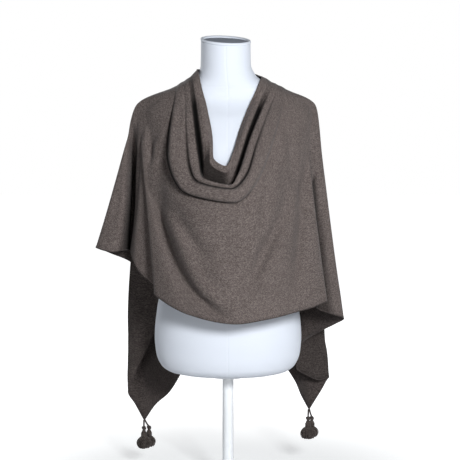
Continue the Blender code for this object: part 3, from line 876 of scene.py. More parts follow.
@dataclass
class Stand:
    """The round plate, the pole with its collar, and the flange under the torso."""

    base_radius: float = 150.0
    base_thickness: float = 8.0
    base_fillet: float = 2.0
    pole_radius: float = 12.5
    pole_fillet: float = 0.6
    collar_radius: float = 27.0
    collar_height: float = 26.0
    collar_edge: float = 1.0
    collar_shoulder: Profile = ((0.0, 0.55), (1.5, 0.68))   # in from its radius, share of its height
    collar_mouth: float = 4.5                               # its wall at the top
    flange_radius: float = 45.0
    flange_thickness: float = 7.0
    flange_fillet: float = 1.5
    gap: float = 0.3
    steps: int = 96
    sharp: float = 40
    pieces: list[Piece] = field(default_factory=list)

    def rounded(self, radius: float, low: float, high: float, fillet: float) -> Profile:
        """Give the profile of an upright disc with rounded rims, as (radius, height) in mm.

        Args:
            radius: the disc's radius.
            low: the height of its underside.
            high: the height of its top.
            fillet: the radius of its rims.

        Returns:
            The profile from the bottom up.
        """
        arc = np.linspace(0, math.pi / 2, 5)
        lower = [(radius - fillet + fillet * math.sin(a), low + fillet - fillet * math.cos(a)) for a in arc]
        upper = [(radius - fillet + fillet * math.cos(a), high - fillet + fillet * math.sin(a)) for a in arc]
        return lower + upper

    def collar(self, foot: float) -> Profile:
        """Give the closed profile of the collar from its foot up: a ring that narrows to the pole.

        Args:
            foot: the height of its underside, in mm.

        Returns:
            The profile as (radius, height) in mm.
        """
        bore, rim, edge = self.pole_radius + self.gap, self.collar_radius, self.collar_edge
        top, mouth = foot + self.collar_height, self.pole_radius + self.collar_mouth
        shoulder = [(rim - inward, foot + share * self.collar_height)
                    for inward, share in self.collar_shoulder]
        return [(bore, foot), (rim - edge, foot), (rim, foot + edge), *shoulder,
                (mouth + edge, top - edge), (mouth, top), (bore, top)]

    def build(self, palette: Palette, underside: float) -> None:
        """Build and dress the stand up to the torso's underside, in mm.

        Args:
            palette: the object's finishes.
            underside: the height of the torso's underside.
        """
        high = underside - self.gap
        low = high - self.flange_thickness
        foot = self.base_thickness + self.gap
        plate = self.rounded(self.base_radius, 0, self.base_thickness, self.base_fillet)
        profiles = (
            ("stand_base", "base_plate", plate),
            ("stand_pole", "pole", self.rounded(self.pole_radius, foot, low - self.gap, self.pole_fillet)),
            ("stand_flange", "flange", self.rounded(self.flange_radius, low, high, self.flange_fillet)),
            ("stand_collar", "pole_collar", self.collar(foot)),
        )
        angles = ring_angles(self.steps)
        for name, node, profile in profiles:
            rings = [[(radius * MM * math.cos(a), radius * MM * math.sin(a), height * MM) for a in angles]
                     for radius, height in profile]
            bored = node == "pole_collar"
            piece = loft_object(name, rings, palette.enamel, capped=not bored, sharp=self.sharp)
            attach(piece, BODY)
            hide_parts(node)
            self.pieces.append(piece)


# ---------------------------------------------------------------- the cloth

RIM = 8                         # "down" value of the shoulder edge
HEM = 12                        # "down" value of the hem
TURN = 0.24                     # "around" value of a fold's turn points


class Fold(NamedTuple):
    """A row of the cowl, from the neck edge down, in mm.

    Reach is the distance from the neck edge along the shoulder. The side points lie
    half-way down each side and the turn points where the row bends to its low point,
    as (x, z); the low point is (x, y, z). Lift is how far the side stands off the
    form, and crown how far the row stands off the shoulder line.
    """

    name: str
    left_reach: float
    left: tuple[float, float]
    left_turn: tuple[float, float]
    low: Point
    right_turn: tuple[float, float]
    right: tuple[float, float]
    right_reach: float
    lift: float
    crown: float


FOLDS = tuple(Fold(*row) for row in (
    ("neck edge", 0, (-35, 787), (-32, 744), (-5, -137, 726), (13, 757), (28, 806), 8, 5, 0),
    ("neck strip", 8, (-47, 774), (-43, 724), (-3, -134, 702), (16, 738), (36, 799), 18, 19, 2),
    ("deep groove", 16, (-61, 752), (-52, 698), (2, -126, 672), (20, 706), (45, 785), 30, 5, 1),
    ("inner roll", 24, (-73, 748), (-62, 706), (3, -170, 687), (28, 716), (54, 782), 38, 29, 2.5),
    ("thin crease", 29, (-86, 748), (-68, 696), (5, -161, 680), (38, 706), (62, 778), 44, 21, 2),
    ("main roll", 37, (-107, 748), (-84, 686), (7, -183, 669), (47, 697), (78, 769), 52, 37, 3),
    ("under groove", 46, (-131, 752), (-95, 672), (10, -160, 650), (54, 682), (92, 764), 62, 9, 1.5),
    ("upper panel", 60, (-148, 736), (-103, 648), (12, -173, 622), (68, 655), (110, 744), 76, 15, 2),
    ("shoulder edge", 136, (-178, 690), (-104, 582), (12, -183, 548), (96, 584), (160, 690), 127, 62, 19),
))


class Station(NamedTuple):
    """A place on the hem, in mm. Bow is how far the cloth swings sideways half-way down to it."""

    name: str
    around: float
    x: float
    y: float
    z: float
    bow: float = 0.0
    corner: bool = False


STATIONS = tuple(Station(*row) for row in (
    ("back seam, left", -2.00, 0, 162, 398),
    ("left back ridge", -1.90, -44, 158, 362),
    ("left back hollow", -1.82, -76, 132, 314, -4),
    ("left tail ridge", -1.74, -106, 150, 232, -8),
    ("left short edge", -1.67, -140, 134, 177, -14),
    ("left short edge end", -1.60, -172, 128, 149, -20),
    ("left tip", -1.54, -198, 120, 112, -26, True),
    ("left tail turn", -1.49, -219, 119, 152, -31),
    ("left tail fold", -1.45, -234, 110, 182, -34),
    ("left tail face", -1.38, -219, 94, 228, -26),
    ("left tail inside", -1.28, -180, 72, 312, -12),
    ("left inner turn", -1.20, -152, 55, 392),
    ("left wing lining", -1.13, -178, 43, 452),
    ("left wing back", -1.08, -224, 38, 501),
    ("left wing back edge", -1.04, -262, 20, 520),
    ("left wing tip", -1.00, -296, -5, 537),
    ("left wing front", -0.95, -258, -25, 529),
    ("left groove lip", -0.92, -236, -21, 532),
    ("left groove", -0.885, -222, 0, 524),
    ("left groove edge", -0.84, -219, -27, 526),
    ("left flat", -0.78, -198, -44, 488),
    ("left flat end", -0.72, -170, -58, 464),
    ("left crest back", -0.66, -157, -70, 452),
    ("left crest", -0.61, -160, -100, 446),
    ("front left", -0.55, -144, -121, 435),
    ("front hem left", -0.35, -81, -163, 408),
    ("front hem low", 0.00, 13, -185, 392),
    ("front hem right", 0.28, 90, -175, 402),
    ("front right", 0.48, 151, -150, 414),
    ("front right side", 0.58, 188, -126, 421),
    ("right crest", 0.66, 216, -98, 429),
    ("right valley", 0.75, 196, -56, 409),
    ("right wing front", 0.87, 229, -29, 391),
    ("right wing tip", 1.00, 261, 0, 374),
    ("right wing back", 1.08, 240, 24, 357),
    ("right wing lining", 1.15, 205, 46, 334),
    ("right inner turn", 1.22, 160, 60, 292),
    ("right tail inside", 1.29, 158, 71, 250),
    ("right tail face", 1.36, 184, 86, 228, 8),
    ("right tail front", 1.41, 214, 100, 214, 14),
    ("right tail fold", 1.46, 236, 112, 218, 19),
    ("right tail turn", 1.51, 217, 119, 182, 17),
    ("right tip", 1.56, 191, 121, 138, 13, True),
    ("right short edge", 1.61, 172, 134, 172, 9),
    ("right back fold", 1.66, 160, 146, 200, 6),
    ("right tail ridge", 1.73, 118, 152, 262, 4),
    ("right back hollow", 1.82, 80, 132, 316),
    ("right back ridge", 1.91, 42, 158, 362),
    ("back seam, right", 2.00, 0, 162, 398),
))


class Side(Enum):
    """The side a crease is drawn from: the axis across its route, and the outward direction."""

    FRONT = (0, (0.0, -1.0, 0.0))
    BACK = (0, (0.0, 1.0, 0.0))
    LEFT = (1, (-1.0, 0.0, 0.0))
    RIGHT = (1, (1.0, 0.0, 0.0))


FRONT, BACK, LEFT, RIGHT = Side


class Crease(NamedTuple):
    """A trough where depth is over 0, a ridge where it is under 0, in mm.

    A route is (x, z) seen from the front or back, or (y, z) seen from a side. Only
    cloth whose distance outward lies in the layer takes the crease.
    """

    name: str
    side: Side
    depth: float
    width: float
    route: tuple[tuple[float, float], ...]
    layer: tuple[float, float] = (20, 400)


class FoldEdge(NamedTuple):
    """A row put in between two rows of the cowl, so that a roll ends in a crisp edge.

    Place is its "down" value; across is its share of the way from the row above to the
    row below in x and z, and depth its share in y.
    """

    place: float
    across: float
    depth: float


FOLD_EDGES = tuple(FoldEdge(*row) for row in (
    (1.60, 0.52, 0.06),
    (2.35, 0.40, 0.92),
    (3.75, 0.70, 0.10),
    (4.30, 0.25, 0.80),
    (5.72, 0.80, 0.14),
    (6.30, 0.14, 0.50),
))


# The large creases, most of them in the solids too: these move the cloth straight back.
MAIN_CREASES = tuple(Crease(*row) for row in (
    ("long left trough", FRONT, 17, 12, ((-163, 655), (-125, 545), (-84, 465), (-30, 417), (2, 402))),
    ("long left ridge", FRONT, -7, 15, ((-138, 650), (-98, 545), (-58, 470), (-8, 425))),
    ("middle trough", FRONT, 13, 14, ((-155, 672), (-112, 618), (-72, 566), (-36, 520))),
    ("right trough", FRONT, 18, 14, ((140, 690), (110, 610), (84, 548), (40, 470))),
    ("right ridge", FRONT, -6, 18, ((168, 690), (150, 600), (122, 540), (84, 470))),
    ("right side trough", FRONT, 14, 12, ((178, 770), (166, 650), (152, 540), (138, 450))),
    ("left side pleat", FRONT, 7, 9, ((-168, 828), (-172, 760), (-176, 640))),
    ("left groove", FRONT, 58, 9,
     ((-213, 796), (-214, 730), (-216, 656), (-223, 533), (-224, 470)), (-30, 400)),
    ("right hem fold", FRONT, 10, 9, ((212, 640), (206, 540), (202, 400)), (0, 400)),
))

# The finer ones: these dent the cloth along its own outward direction.
FINE_CREASES = tuple(Crease(*row) for row in (
    ("outer shoulder pleat", FRONT, 12, 5.5, ((-164, 850), (-171, 780), (-172, 730))),
    ("inner shoulder pleat", FRONT, 11, 5.5, ((-148, 872), (-157, 820), (-160, 780))),
    ("long trough's sharp foot", FRONT, 4, 5, ((-128, 560), (-94, 492), (-62, 446), (-20, 418))),
    ("trough beside it", FRONT, 6, 9, ((-112, 640), (-84, 575), (-62, 520), (-30, 470))),
    ("right trough's foot", FRONT, 6, 8, ((112, 640), (92, 570), (60, 500), (20, 455))),
    ("soft fold right", FRONT, 7, 9, ((118, 720), (128, 640), (122, 580))),
    ("right panel fold", FRONT, 7, 9, ((64, 700), (78, 640), (74, 560), (58, 500))),
    ("right shoulder fold", FRONT, 7, 8, ((126, 850), (140, 780), (140, 700))),
    ("left roll fold", FRONT, 3, 6, ((-92, 872), (-108, 820), (-112, 770))),
    ("panel hollow", FRONT, 4, 20, ((-20, 600), (10, 540), (30, 480))),
    ("left wing fold", FRONT, 5, 12, ((-228, 740), (-246, 650), (-262, 560)), (-40, 90)),
    ("left tail trough", BACK, -15, 11, ((-160, 356), (-172, 322), (-196, 273), (-224, 210)), (30, 200)),
    ("left tail soft ridge", BACK, 6, 12, ((-190, 420), (-206, 340), (-222, 260)), (30, 200)),
    ("right tail upper fold", FRONT, 9, 6, ((160, 302), (178, 320), (198, 336)), (-170, -30)),
    ("right tail long fold", FRONT, 12, 6, ((162, 298), (182, 290), (199, 276), (220, 246)), (-170, -30)),
    ("right tail trough", BACK, -22, 11, ((146, 266), (172, 240), (200, 226), (226, 212)), (30, 200)),
    ("right tail upper crease", BACK, -8, 6, ((164, 300), (184, 320), (206, 340)), (30, 200)),
    ("right tail slanting crease", BACK, -10, 6, ((166, 300), (190, 284), (214, 262), (226, 240)), (30, 200)),
    ("left upper back", BACK, 10.5, 16, ((-150, 800), (-128, 640), (-112, 480), (-120, 330))),
    ("left back sweep", BACK, 8.8, 13, ((-176, 760), (-172, 600), (-176, 420), (-190, 260))),
    ("left inner back", BACK, 7, 15, ((-96, 830), (-60, 660), (-58, 500), (-84, 360))),
    ("nape trough left", BACK, 5.2, 12, ((-56, 900), (-30, 800), (-26, 640), (-30, 500))),
    ("nape trough right", BACK, 5.2, 13, ((60, 890), (34, 780), (30, 620), (28, 480))),
    ("right inner back", BACK, 8.8, 14, ((104, 830), (74, 680), (62, 520), (88, 350))),
    ("right upper back", BACK, 10.5, 17, ((150, 800), (132, 650), (122, 480), (136, 320))),
    ("right back sweep", BACK, 7, 12, ((172, 740), (176, 590), (172, 420), (182, 270))),
    ("left wing trough", LEFT, 8.8, 12, ((18, 800), (14, 680), (10, 560)), (60, 400)),
    ("left wing front fold", LEFT, 5.2, 9, ((-30, 820), (-24, 700), (-20, 580)), (60, 400)),
    ("left tail side", LEFT, 7, 12, ((70, 720), (84, 540), (96, 360), (108, 240)), (60, 400)),
    ("right wing trough", RIGHT, 8.8, 13, ((-24, 800), (-20, 640), (-16, 460)), (60, 400)),
    ("right wing back fold", RIGHT, 7, 11, ((28, 790), (22, 620), (16, 440)), (60, 400)),
    ("right tail side", RIGHT, 7, 12, ((72, 700), (86, 520), (98, 360), (110, 280)), (60, 400)),
))


class PaintedShade(NamedTuple):
    """A place of painted shade by its "around" and "down" values; depth is how far its colour is darkened,
    from 0 to 1.

    It lies between two layers of cloth, where the folded cloth closes over further than one surface can, or
    under a wing; the darkening is painted shade for the shade that falls there.
    """

    name: str
    around: tuple[float, float]
    down: tuple[float, float]
    depth: float


# Painted shade on the cloth's outer face: in the cowl's slots, its grooves and on the tails under the wings.
PAINTED_SHADES = tuple(PaintedShade(*row) for row in (
    ("left slot", (-1.06, -0.10), (1.42, 2.46), 0.97),
    ("right slot", (0.02, 0.98), (1.42, 2.46), 0.97),
    ("thin crease", (-0.75, 0.70), (3.68, 4.34), 0.85),
    ("under the main roll", (-1.00, 0.10), (5.70, 6.30), 0.85),
    ("inner layer", (-0.52, 0.10), (0.50, 1.85), 0.80),
    ("left groove", (-0.94, -0.83), (8.6, 12.6), 0.80),
    ("right side fold", (0.66, 0.91), (9.0, 12.6), 0.70),
    ("left tail, under the wing", (-1.62, -1.12), (9.4, 12.6), 0.48),
    ("right tail, under the wing", (1.14, 1.62), (9.4, 12.6), 0.62),
))


@dataclass
class Poncho:
    """The one knitted sheet, draped: its surface, wall, edges and sewn seam."""

    form: DressForm
    cut_width: float = 570.0
    cut_length: float = 1700.0
    wall: float = 2.0
    clearance: float = 5.0
    neck_half_width: float = 67.0
    shoulder_clearance: float = 6.0
    back_clearance: float = 7.0
    left_neck_rise: float = 9.0
    neck_rise_reach: float = 16.0
    turn_share: float = 0.75        # how far out the turn points stand: 0 as the sides, 1 as the low point
    back_sag: float = 2.4           # a higher power keeps a row high for longer past the shoulder
    back_rim_level: float = 800.0
    nape_level: float = 938.0
    crease_start: float = 0.04      # share of the fade that is left out at each end of a crease
    crease_fade: float = 0.7        # a lower power keeps a crease deep nearer to its ends
    layer_fade: float = 22.0
    facing_start: float = 0.1       # cloth that faces outward less than this takes no fine crease
    facing_range: float = 0.35
    column_pitch: float = 6.6
    rows_per_fold: int = 8
    shoulder_rows: int = 14
    hang_rows: int = 46
    seam_width: float = 2.6
    seam_depth: float = 1.1
    edge_radius: float = 1.35
    ease_rounds: int = 2
    # How the painted shade fades at its borders: over rows, and over a share of its width in columns.
    shade_fade_rows: float = 0.12
    shade_fade_share: float = 0.25
    stitch_lift: float = 0.15
    hem_pitch: float = 4.2
    hem_stitch: Point = (0.9, 0.5, 3.0)
    seam_pitch: float = 4.6
    seam_stitch: Point = (1.2, 0.6, 3.2)
    pieces: list[Piece] = field(default_factory=list)

    # ---- the surface, worked out from the tables

    def neck_rise(self, reach: np.ndarray | float) -> np.ndarray:
        """Give how far the left side of the neck edge climbs the neck, in mm."""
        return self.left_neck_rise * np.exp(-np.asarray(reach) / self.neck_rise_reach)

    def front_row(self, fold: Fold, around: np.ndarray) -> np.ndarray:
        """Read a fold row across the front, from the left shoulder to the right one.

        Args:
            fold: the row of the fold table.
            around: the columns' places.

        Returns:
            One row of x, y, z in mm for each column.
        """
        left_end = -(self.neck_half_width + fold.left_reach)
        right_end = self.neck_half_width + fold.right_reach
        crown = self.shoulder_clearance + fold.crown
        ends = self.form.shoulder_level([-left_end, right_end]) + crown
        ends[0] += self.neck_rise(fold.left_reach)
        depth = self.form.front_depth(np.array([fold.low[0]]), np.array([fold.low[2]]))[0]
        low_lift = -fold.low[1] - depth
        turn_lift = fold.lift + self.turn_share * (low_lift - fold.lift)
        points = (
            (left_end, ends[0], 0.0),
            (*fold.left, fold.lift),
            (*fold.left_turn, turn_lift),
            (fold.low[0], fold.low[2], low_lift),
            (*fold.right_turn, turn_lift),
            (*fold.right, fold.lift),
            (right_end, ends[1], 0.0),
        )
        curve = smooth_through((-1.0, -0.5, -TURN, 0.0, TURN, 0.5, 1.0), points, around)
        x, z, lift = curve.T
        above_form = np.abs(around) ** 4 * (crown + np.where(around < 0, self.neck_rise(fold.left_reach), 0))
        return np.column_stack((x, -self.form.front_depth(x, z - above_form) - lift, z))

    def back_row(self, fold: Fold, order: int, around: np.ndarray) -> np.ndarray:
        """Read a fold row across the back, where it lies flat under the neck edge.

        Args:
            fold: the row of the fold table.
            order: its number in the table.
            around: the columns' places.

        Returns:
            One row of x, y, z in mm for each column.
        """
        side = np.sign(around)
        reach = np.where(side < 0, fold.left_reach, fold.right_reach)
        end = self.neck_half_width + reach
        turn = (np.abs(around) - 1) * math.pi / 2
        crown = self.shoulder_clearance + fold.crown + np.where(side < 0, self.neck_rise(reach), 0)
        end_level = self.form.shoulder_level(end) + crown
        back_level = self.nape_level + (self.back_rim_level - self.nape_level) * order / RIM
        z = end_level + (back_level - end_level) * np.sin(turn) ** self.back_sag
        x = side * end * np.cos(turn)
        y = (self.form.size_at(back_level)[0, 2] + self.back_clearance) * np.sin(turn)
        return np.column_stack((x, y, z))

    def fold_row(self, order: int, around: np.ndarray) -> np.ndarray:
        """Read one whole row of the fold table, front and back.

        Args:
            order: the row's number in the fold table.
            around: the columns' places.

        Returns:
            One row of x, y, z in mm for each column.
        """
        front = self.front_row(FOLDS[order], np.clip(around, -1, 1))
        behind = np.where(np.abs(around) > 1, around, np.sign(around + TINY))
        return np.where(np.abs(around)[:, None] <= 1, front, self.back_row(FOLDS[order], order, behind))

    def hem_line(self, around: np.ndarray) -> np.ndarray:
        """Read the hem and its bow through the stations, sharp at each free corner.

        Args:
            around: the columns' places.

        Returns:
            One row of x, y, z and bow in mm for each column.
        """
        corners = [0] + [i for i, row in enumerate(STATIONS) if row.corner] + [len(STATIONS) - 1]
        line = np.zeros((len(around), 4))
        for first, last in zip(corners[:-1], corners[1:]):
            rows = STATIONS[first:last + 1]
            inside = (around >= rows[0].around - TINY) & (around <= rows[-1].around + TINY)
            values = [(row.x, row.y, row.z, row.bow) for row in rows]
            line[inside] = smooth_through([row.around for row in rows], values, around[inside])
        return line

    def crease_depth(self, crease: Crease, points: np.ndarray) -> np.ndarray:
        """Work out how deep one crease is at each point, before any mask.

        Args:
            crease: the crease to read.
            points: rows of x, y, z in mm.

        Returns:
            One depth for each point, in mm.
        """
        flat = points[:, [crease.side.value[0], 2]]
        nearest = np.full(len(points), np.inf)
        place = np.zeros(len(points))
        count = len(crease.route) - 1
        for number, (start, end) in enumerate(zip(crease.route[:-1], crease.route[1:])):
            start, along = np.array(start, float), np.subtract(end, start).astype(float)
            part = np.clip((flat - start) @ along / (along @ along), 0, 1)
            distance = np.linalg.norm(flat - start - part[:, None] * along, axis=1)
            closer = distance < nearest
            nearest = np.where(closer, distance, nearest)
            place = np.where(closer, (number + part) / count, place)
        share = self.crease_start + (1 - 2 * self.crease_start) * place
        along_it = np.sin(math.pi * share) ** self.crease_fade
        return crease.depth * along_it * np.exp(-(nearest / crease.width) ** 2)

    def reached(self, crease: Crease, out: np.ndarray) -> np.ndarray:
        """Give how far cloth at these distances outward takes the crease, from 0 to 1."""
        return within(out, *crease.layer, self.layer_fade)

    def surface(self, around: np.ndarray, down: np.ndarray) -> np.ndarray:
        """Work out the cloth's inner face from the tables.

        Args:
            around: the columns' places.
            down: the rows' places.

        Returns:
            An array of rows, columns and x, y, z, in mm.
        """
        rows = [self.fold_row(order, around) for order in range(RIM + 1)]
        rim, line = rows[-1], self.hem_line(around)
        hem, bow = line[:, :3], line[:, 3:] * (1.0, 0.0, 0.0)
        for part in np.linspace(0, 1, HEM - RIM + 1)[1:]:
            rows.append(rim + (hem - rim) * part + bow * math.sin(math.pi * part))
        levels = list(range(len(rows)))
        for edge in FOLD_EDGES[::-1]:
            after = int(edge.place) + 1
            above, below = rows[after - 1:after + 1]
            in_front = (edge.across, edge.depth, edge.across)
            share = np.where(np.abs(around)[:, None] <= 1, in_front, edge.across)
            levels.insert(after, edge.place)
            rows.insert(after, above + (below - above) * share)
        stack = np.array(rows).reshape(len(rows), -1)
        grid = smooth_through(levels, stack, down).reshape(len(down), len(around), 3)
        for number, place in enumerate(down):
            if place > RIM - 1:
                points = grid[number]
                offset = sum(self.crease_depth(crease, points) * self.reached(crease, -points[:, 1])
                             for crease in MAIN_CREASES)
                grid[number, :, 1] += min(1.0, place - RIM + 1) * offset
        return grid

    def columns(self) -> np.ndarray:
        """Spread the columns along the hem: closer where the hem is long between stations.

        Returns:
            The columns' places, from back seam to back seam.
        """
        places = [STATIONS[0].around]
        for first, last in zip(STATIONS[:-1], STATIONS[1:]):
            length = math.dist((first.x, first.y, first.z), (last.x, last.y, last.z))
            count = max(3, round(length / self.column_pitch))
            places += list(np.linspace(first.around, last.around, count + 1)[1:])
        return np.array(places)

    def rows(self) -> np.ndarray:
        """Spread the rows: closely over the folds, then down the hanging cloth.

        Returns:
            The rows' places, from the neck edge to the hem.
        """
        folds = np.linspace(0, RIM - 1, (RIM - 1) * self.rows_per_fold + 1)
        shoulder = np.linspace(RIM - 1, RIM, self.shoulder_rows + 1)[1:]
        return np.concatenate((folds, shoulder, np.linspace(RIM, HEM, self.hang_rows + 1)[1:]))

    # ---- shaping the grid

    def unit_steps(self, grid: np.ndarray) -> np.ndarray:
        """Give the direction down the rows at each point: the mean of the two unit steps."""
        steps = unit(np.diff(grid, axis=0))
        return np.concatenate((steps[:1], steps[:-1] + steps[1:], steps[-1:]))

    def normals(self, grid: np.ndarray) -> np.ndarray:
        """Work out the cloth's smooth outward direction at each point.

        Args:
            grid: rows, columns and x, y, z.

        Returns:
            One direction of length 1 for each point.
        """
        across = self.unit_steps(grid.transpose(1, 0, 2)).transpose(1, 0, 2)
        normals = unit(np.cross(self.unit_steps(grid), across))
        normals[:, 0] = normals[:, -1] = unit(normals[:, 0] + normals[:, -1])
        return normals

    def soften(self, grid: np.ndarray) -> np.ndarray:
        """Ease the inner points of the grid towards their neighbours; the edges stay.

        Args:
            grid: rows, columns and x, y, z.

        Returns:
            The same grid, eased.
        """
        for _ in range(self.ease_rounds):
            inside = grid[1:-1, 1:-1]
            mean = 0.25 * (grid[:-2, 1:-1] + grid[2:, 1:-1] + grid[1:-1, :-2] + grid[1:-1, 2:])
            grid[1:-1, 1:-1] = 0.5 * inside + 0.5 * mean
        return grid

    def add_fine_creases(self, grid: np.ndarray) -> np.ndarray:
        """Dent the cloth along its own outward direction by the finer creases.

        Args:
            grid: rows, columns and x, y, z, in mm.

        Returns:
            The dented grid.
        """
        flat = grid.reshape(-1, 3)
        normals = self.normals(grid).reshape(-1, 3)
        depth = np.zeros(len(flat))
        for crease in FINE_CREASES:
            outward = np.array(crease.side.value[1])
            facing = np.clip((normals @ outward - self.facing_start) / self.facing_range, 0, 1)
            depth += self.crease_depth(crease, flat) * facing * self.reached(crease, flat @ outward)
        return (flat - depth[:, None] * normals).reshape(grid.shape)

    def push_clear(self, grid: np.ndarray, tree: BVHTree) -> np.ndarray:
        """Move every point that is too near the form out to the clearance, in metres.

        Args:
            grid: rows, columns and x, y, z, in metres.
            tree: the form's faces.

        Returns:
            The same grid, moved.
        """
        reach = self.clearance * MM
        for row in grid:
            for point in row:
                near, normal, _, distance = tree.find_nearest(Vector(point))
                side = (Vector(point) - near).dot(normal)
                if side < 0 or distance < reach:
                    point[:] = near + normal * reach
        return grid

    # ---- meshes

    def wall_mesh(self, inner: np.ndarray, outer: np.ndarray) -> Mesh:
        """Skin the closed wall between two grids whose last column meets the first.

        Args:
            inner: the grid of the cloth's inner face, in metres.
            outer: the grid of its outer face.

        Returns:
            A smooth mesh with a surface UV map in metres of cloth.
        """
        rows, columns = inner.shape[0], inner.shape[1] - 1
        points = np.concatenate((inner[:, :-1].reshape(-1, 3), outer[:, :-1].reshape(-1, 3)))
        i, j = np.meshgrid(np.arange(rows - 1), np.arange(columns), indexing="ij")
        i, j = i.ravel(), j.ravel()
        after = (j + 1) % columns
        a, b, c, d = i * columns + j, i * columns + after, (i + 1) * columns + after, (i + 1) * columns + j
        far = rows * columns
        k = np.arange(columns)
        after_k = (k + 1) % columns
        low = (rows - 1) * columns
        faces = np.concatenate((
            np.column_stack((a, d, c, b)),
            np.column_stack((a, b, c, d)) + far,
            np.column_stack((k, after_k, after_k + far, k + far)),
            np.column_stack((k, k + far, after_k + far, after_k)) + low,
        ))
        mesh = bpy.data.meshes.new("wall")
        mesh.from_pydata(points.tolist(), [], faces.tolist())
        self.add_surface_map(mesh, outer, columns)
        mesh.shade_smooth()
        return mesh

    def add_surface_map(self, mesh: Mesh, grid: np.ndarray, columns: int) -> None:
        """Give the mesh a UV map whose units are metres along the cloth's rows and columns.

        Args:
            mesh: the wall.
            grid: its outer face, in metres.
            columns: how many columns of points go round.
        """
        down, across = (
            np.insert(np.cumsum(np.linalg.norm(np.diff(grid, axis=way), axis=2), axis=way), 0, 0, axis=way)
            for way in (0, 1))
        across -= across[:, columns // 2][:, None]
        corners = np.empty(len(mesh.loops), dtype=np.int64)
        mesh.loops.foreach_get("vertex_index", corners)
        corners %= len(grid) * columns
        row, column = corners // columns, corners % columns
        quads = column.reshape(-1, 4)
        wraps = (quads.max(axis=1) - quads.min(axis=1)) > columns // 2
        quads[wraps] = np.where(quads[wraps] == 0, columns, quads[wraps])
        column = quads.ravel()
        layer = mesh.uv_layers.new(name="cloth")
        layer.uv.foreach_set("vector", np.column_stack((across[row, column], down[row, column])).ravel())

    def paint_shades(self, cloth: Piece, around: np.ndarray, down: np.ndarray) -> None:
        """Write the painted shade of each point of the outer face, from 0 to 1, fading at each border.

        Args:
            cloth: the cloth.
            around: the columns' places.
            down: the rows' places.
        """
        depth = np.zeros((len(down), len(around)))
        for hollow in PAINTED_SHADES:
            first, last = hollow.around
            columns = within(around, first, last, self.shade_fade_share * (last - first))
            rows = within(down, *hollow.down, self.shade_fade_rows)
            depth = np.maximum(depth, hollow.depth * np.outer(rows, columns))
        layer = cloth.data.attributes.new(PAINTED_SHADE, "FLOAT", "POINT")
        outer = depth[:, :-1].ravel()
        layer.data.foreach_set("value", np.concatenate((np.zeros(len(outer)), outer)))

    def paint_reverse_shade(self, cloth: Piece, count: int, reverse: Material) -> None:
        """Give the wall's first faces, those of its inner side, the darkened copy of the knit: painted shade
        on the reverse.

        Args:
            cloth: the cloth.
            count: how many faces the inner side has.
            reverse: the darkened finish of the reverse, painted shade.
        """
        cloth.data.materials.append(reverse)
        second = np.arange(len(cloth.data.polygons)) < count
        cloth.data.polygons.foreach_set("material_index", second.astype(int))

    def wall_grids(self, around: np.ndarray, down: np.ndarray, torso: Piece) -> tuple[np.ndarray, ...]:
        """Shape the cloth's two faces, clear of the form and dented along the back seam.

        Args:
            around: the columns' places.
            down: the rows' places.
            torso: the piece that the cloth keeps clear of.

        Returns:
            The grids of the inner face, the outer face and the outward direction, in metres.
        """
        tree = BVHTree.FromObject(torso, bpy.context.evaluated_depsgraph_get())
        grid = self.soften(self.add_fine_creases(self.surface(around, down)))
        inner = self.push_clear(grid * MM, tree)
        inner[:, :, 2] -= SETTLE * MM
        inner[:, -1] = inner[:, 0]
        outward = self.normals(inner)
        length = np.linalg.norm(inner - inner[:, :1], axis=2)
        seam = self.seam_depth * MM * np.exp(-(length / (self.seam_width * MM)) ** 2)
        thickness = self.wall * MM - seam
        return inner, inner + outward * thickness[:, :, None], outward

    def build(self, palette: Palette) -> None:
        """Args:
            palette: the object's finishes.
        """
        around, down = self.columns(), self.rows()
        torso = self.form.pieces[0]
        inner, outer, outward = self.wall_grids(around, down, torso)
        cloth = mesh_object("poncho_cloth", self.wall_mesh(inner, outer), palette.knit)
        # Painted shade: the outer face is darkened in the cowl's slots, its grooves and under the wings.
        self.paint_shades(cloth, around, down)
        # The inner side takes the darkened copy of the knit: painted shade.
        self.paint_reverse_shade(cloth, (len(down) - 1) * (len(around) - 1), palette.knit_reverse_painted_shade)
        middle = 0.5 * (inner + outer)
        above = outer + outward * self.stitch_lift * MM
        trims = [
            # The hem's roll is darkened: painted shade.
            edge_roll("poncho_hem_edge", middle[-1, :-1], self.edge_radius, palette.knit_hem_painted_shade),
            edge_roll("poncho_neck_edge", middle[0, :-1], self.edge_radius, palette.knit_plain),
            stitch_line("poncho_hem_stitches", above[-2, :-1], True, self.hem_pitch, self.hem_stitch,
                        palette.yarn),
            stitch_line("poncho_seam_stitches", above[:, 0], False, self.seam_pitch, self.seam_stitch,
                        palette.yarn),
        ]
        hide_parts("cloth_front", "cloth_back_left", "cloth_back_right")
        for piece in (cloth, *trims):
            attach(piece, BODY)
        self.pieces = [cloth, *trims]


# ---------------------------------------------------------------- tassels

GOLDEN_ANGLE = math.pi * (3 - math.sqrt(5))
NECK_PROFILE = ((0.30, 0.0), (0.86, 0.0), (0.98, 0.10), (1.0, 0.28), (0.98, 0.48),
                (0.90, 0.68), (0.74, 0.86), (0.55, 0.97), (0.30, 1.02))   # shares of radius and height


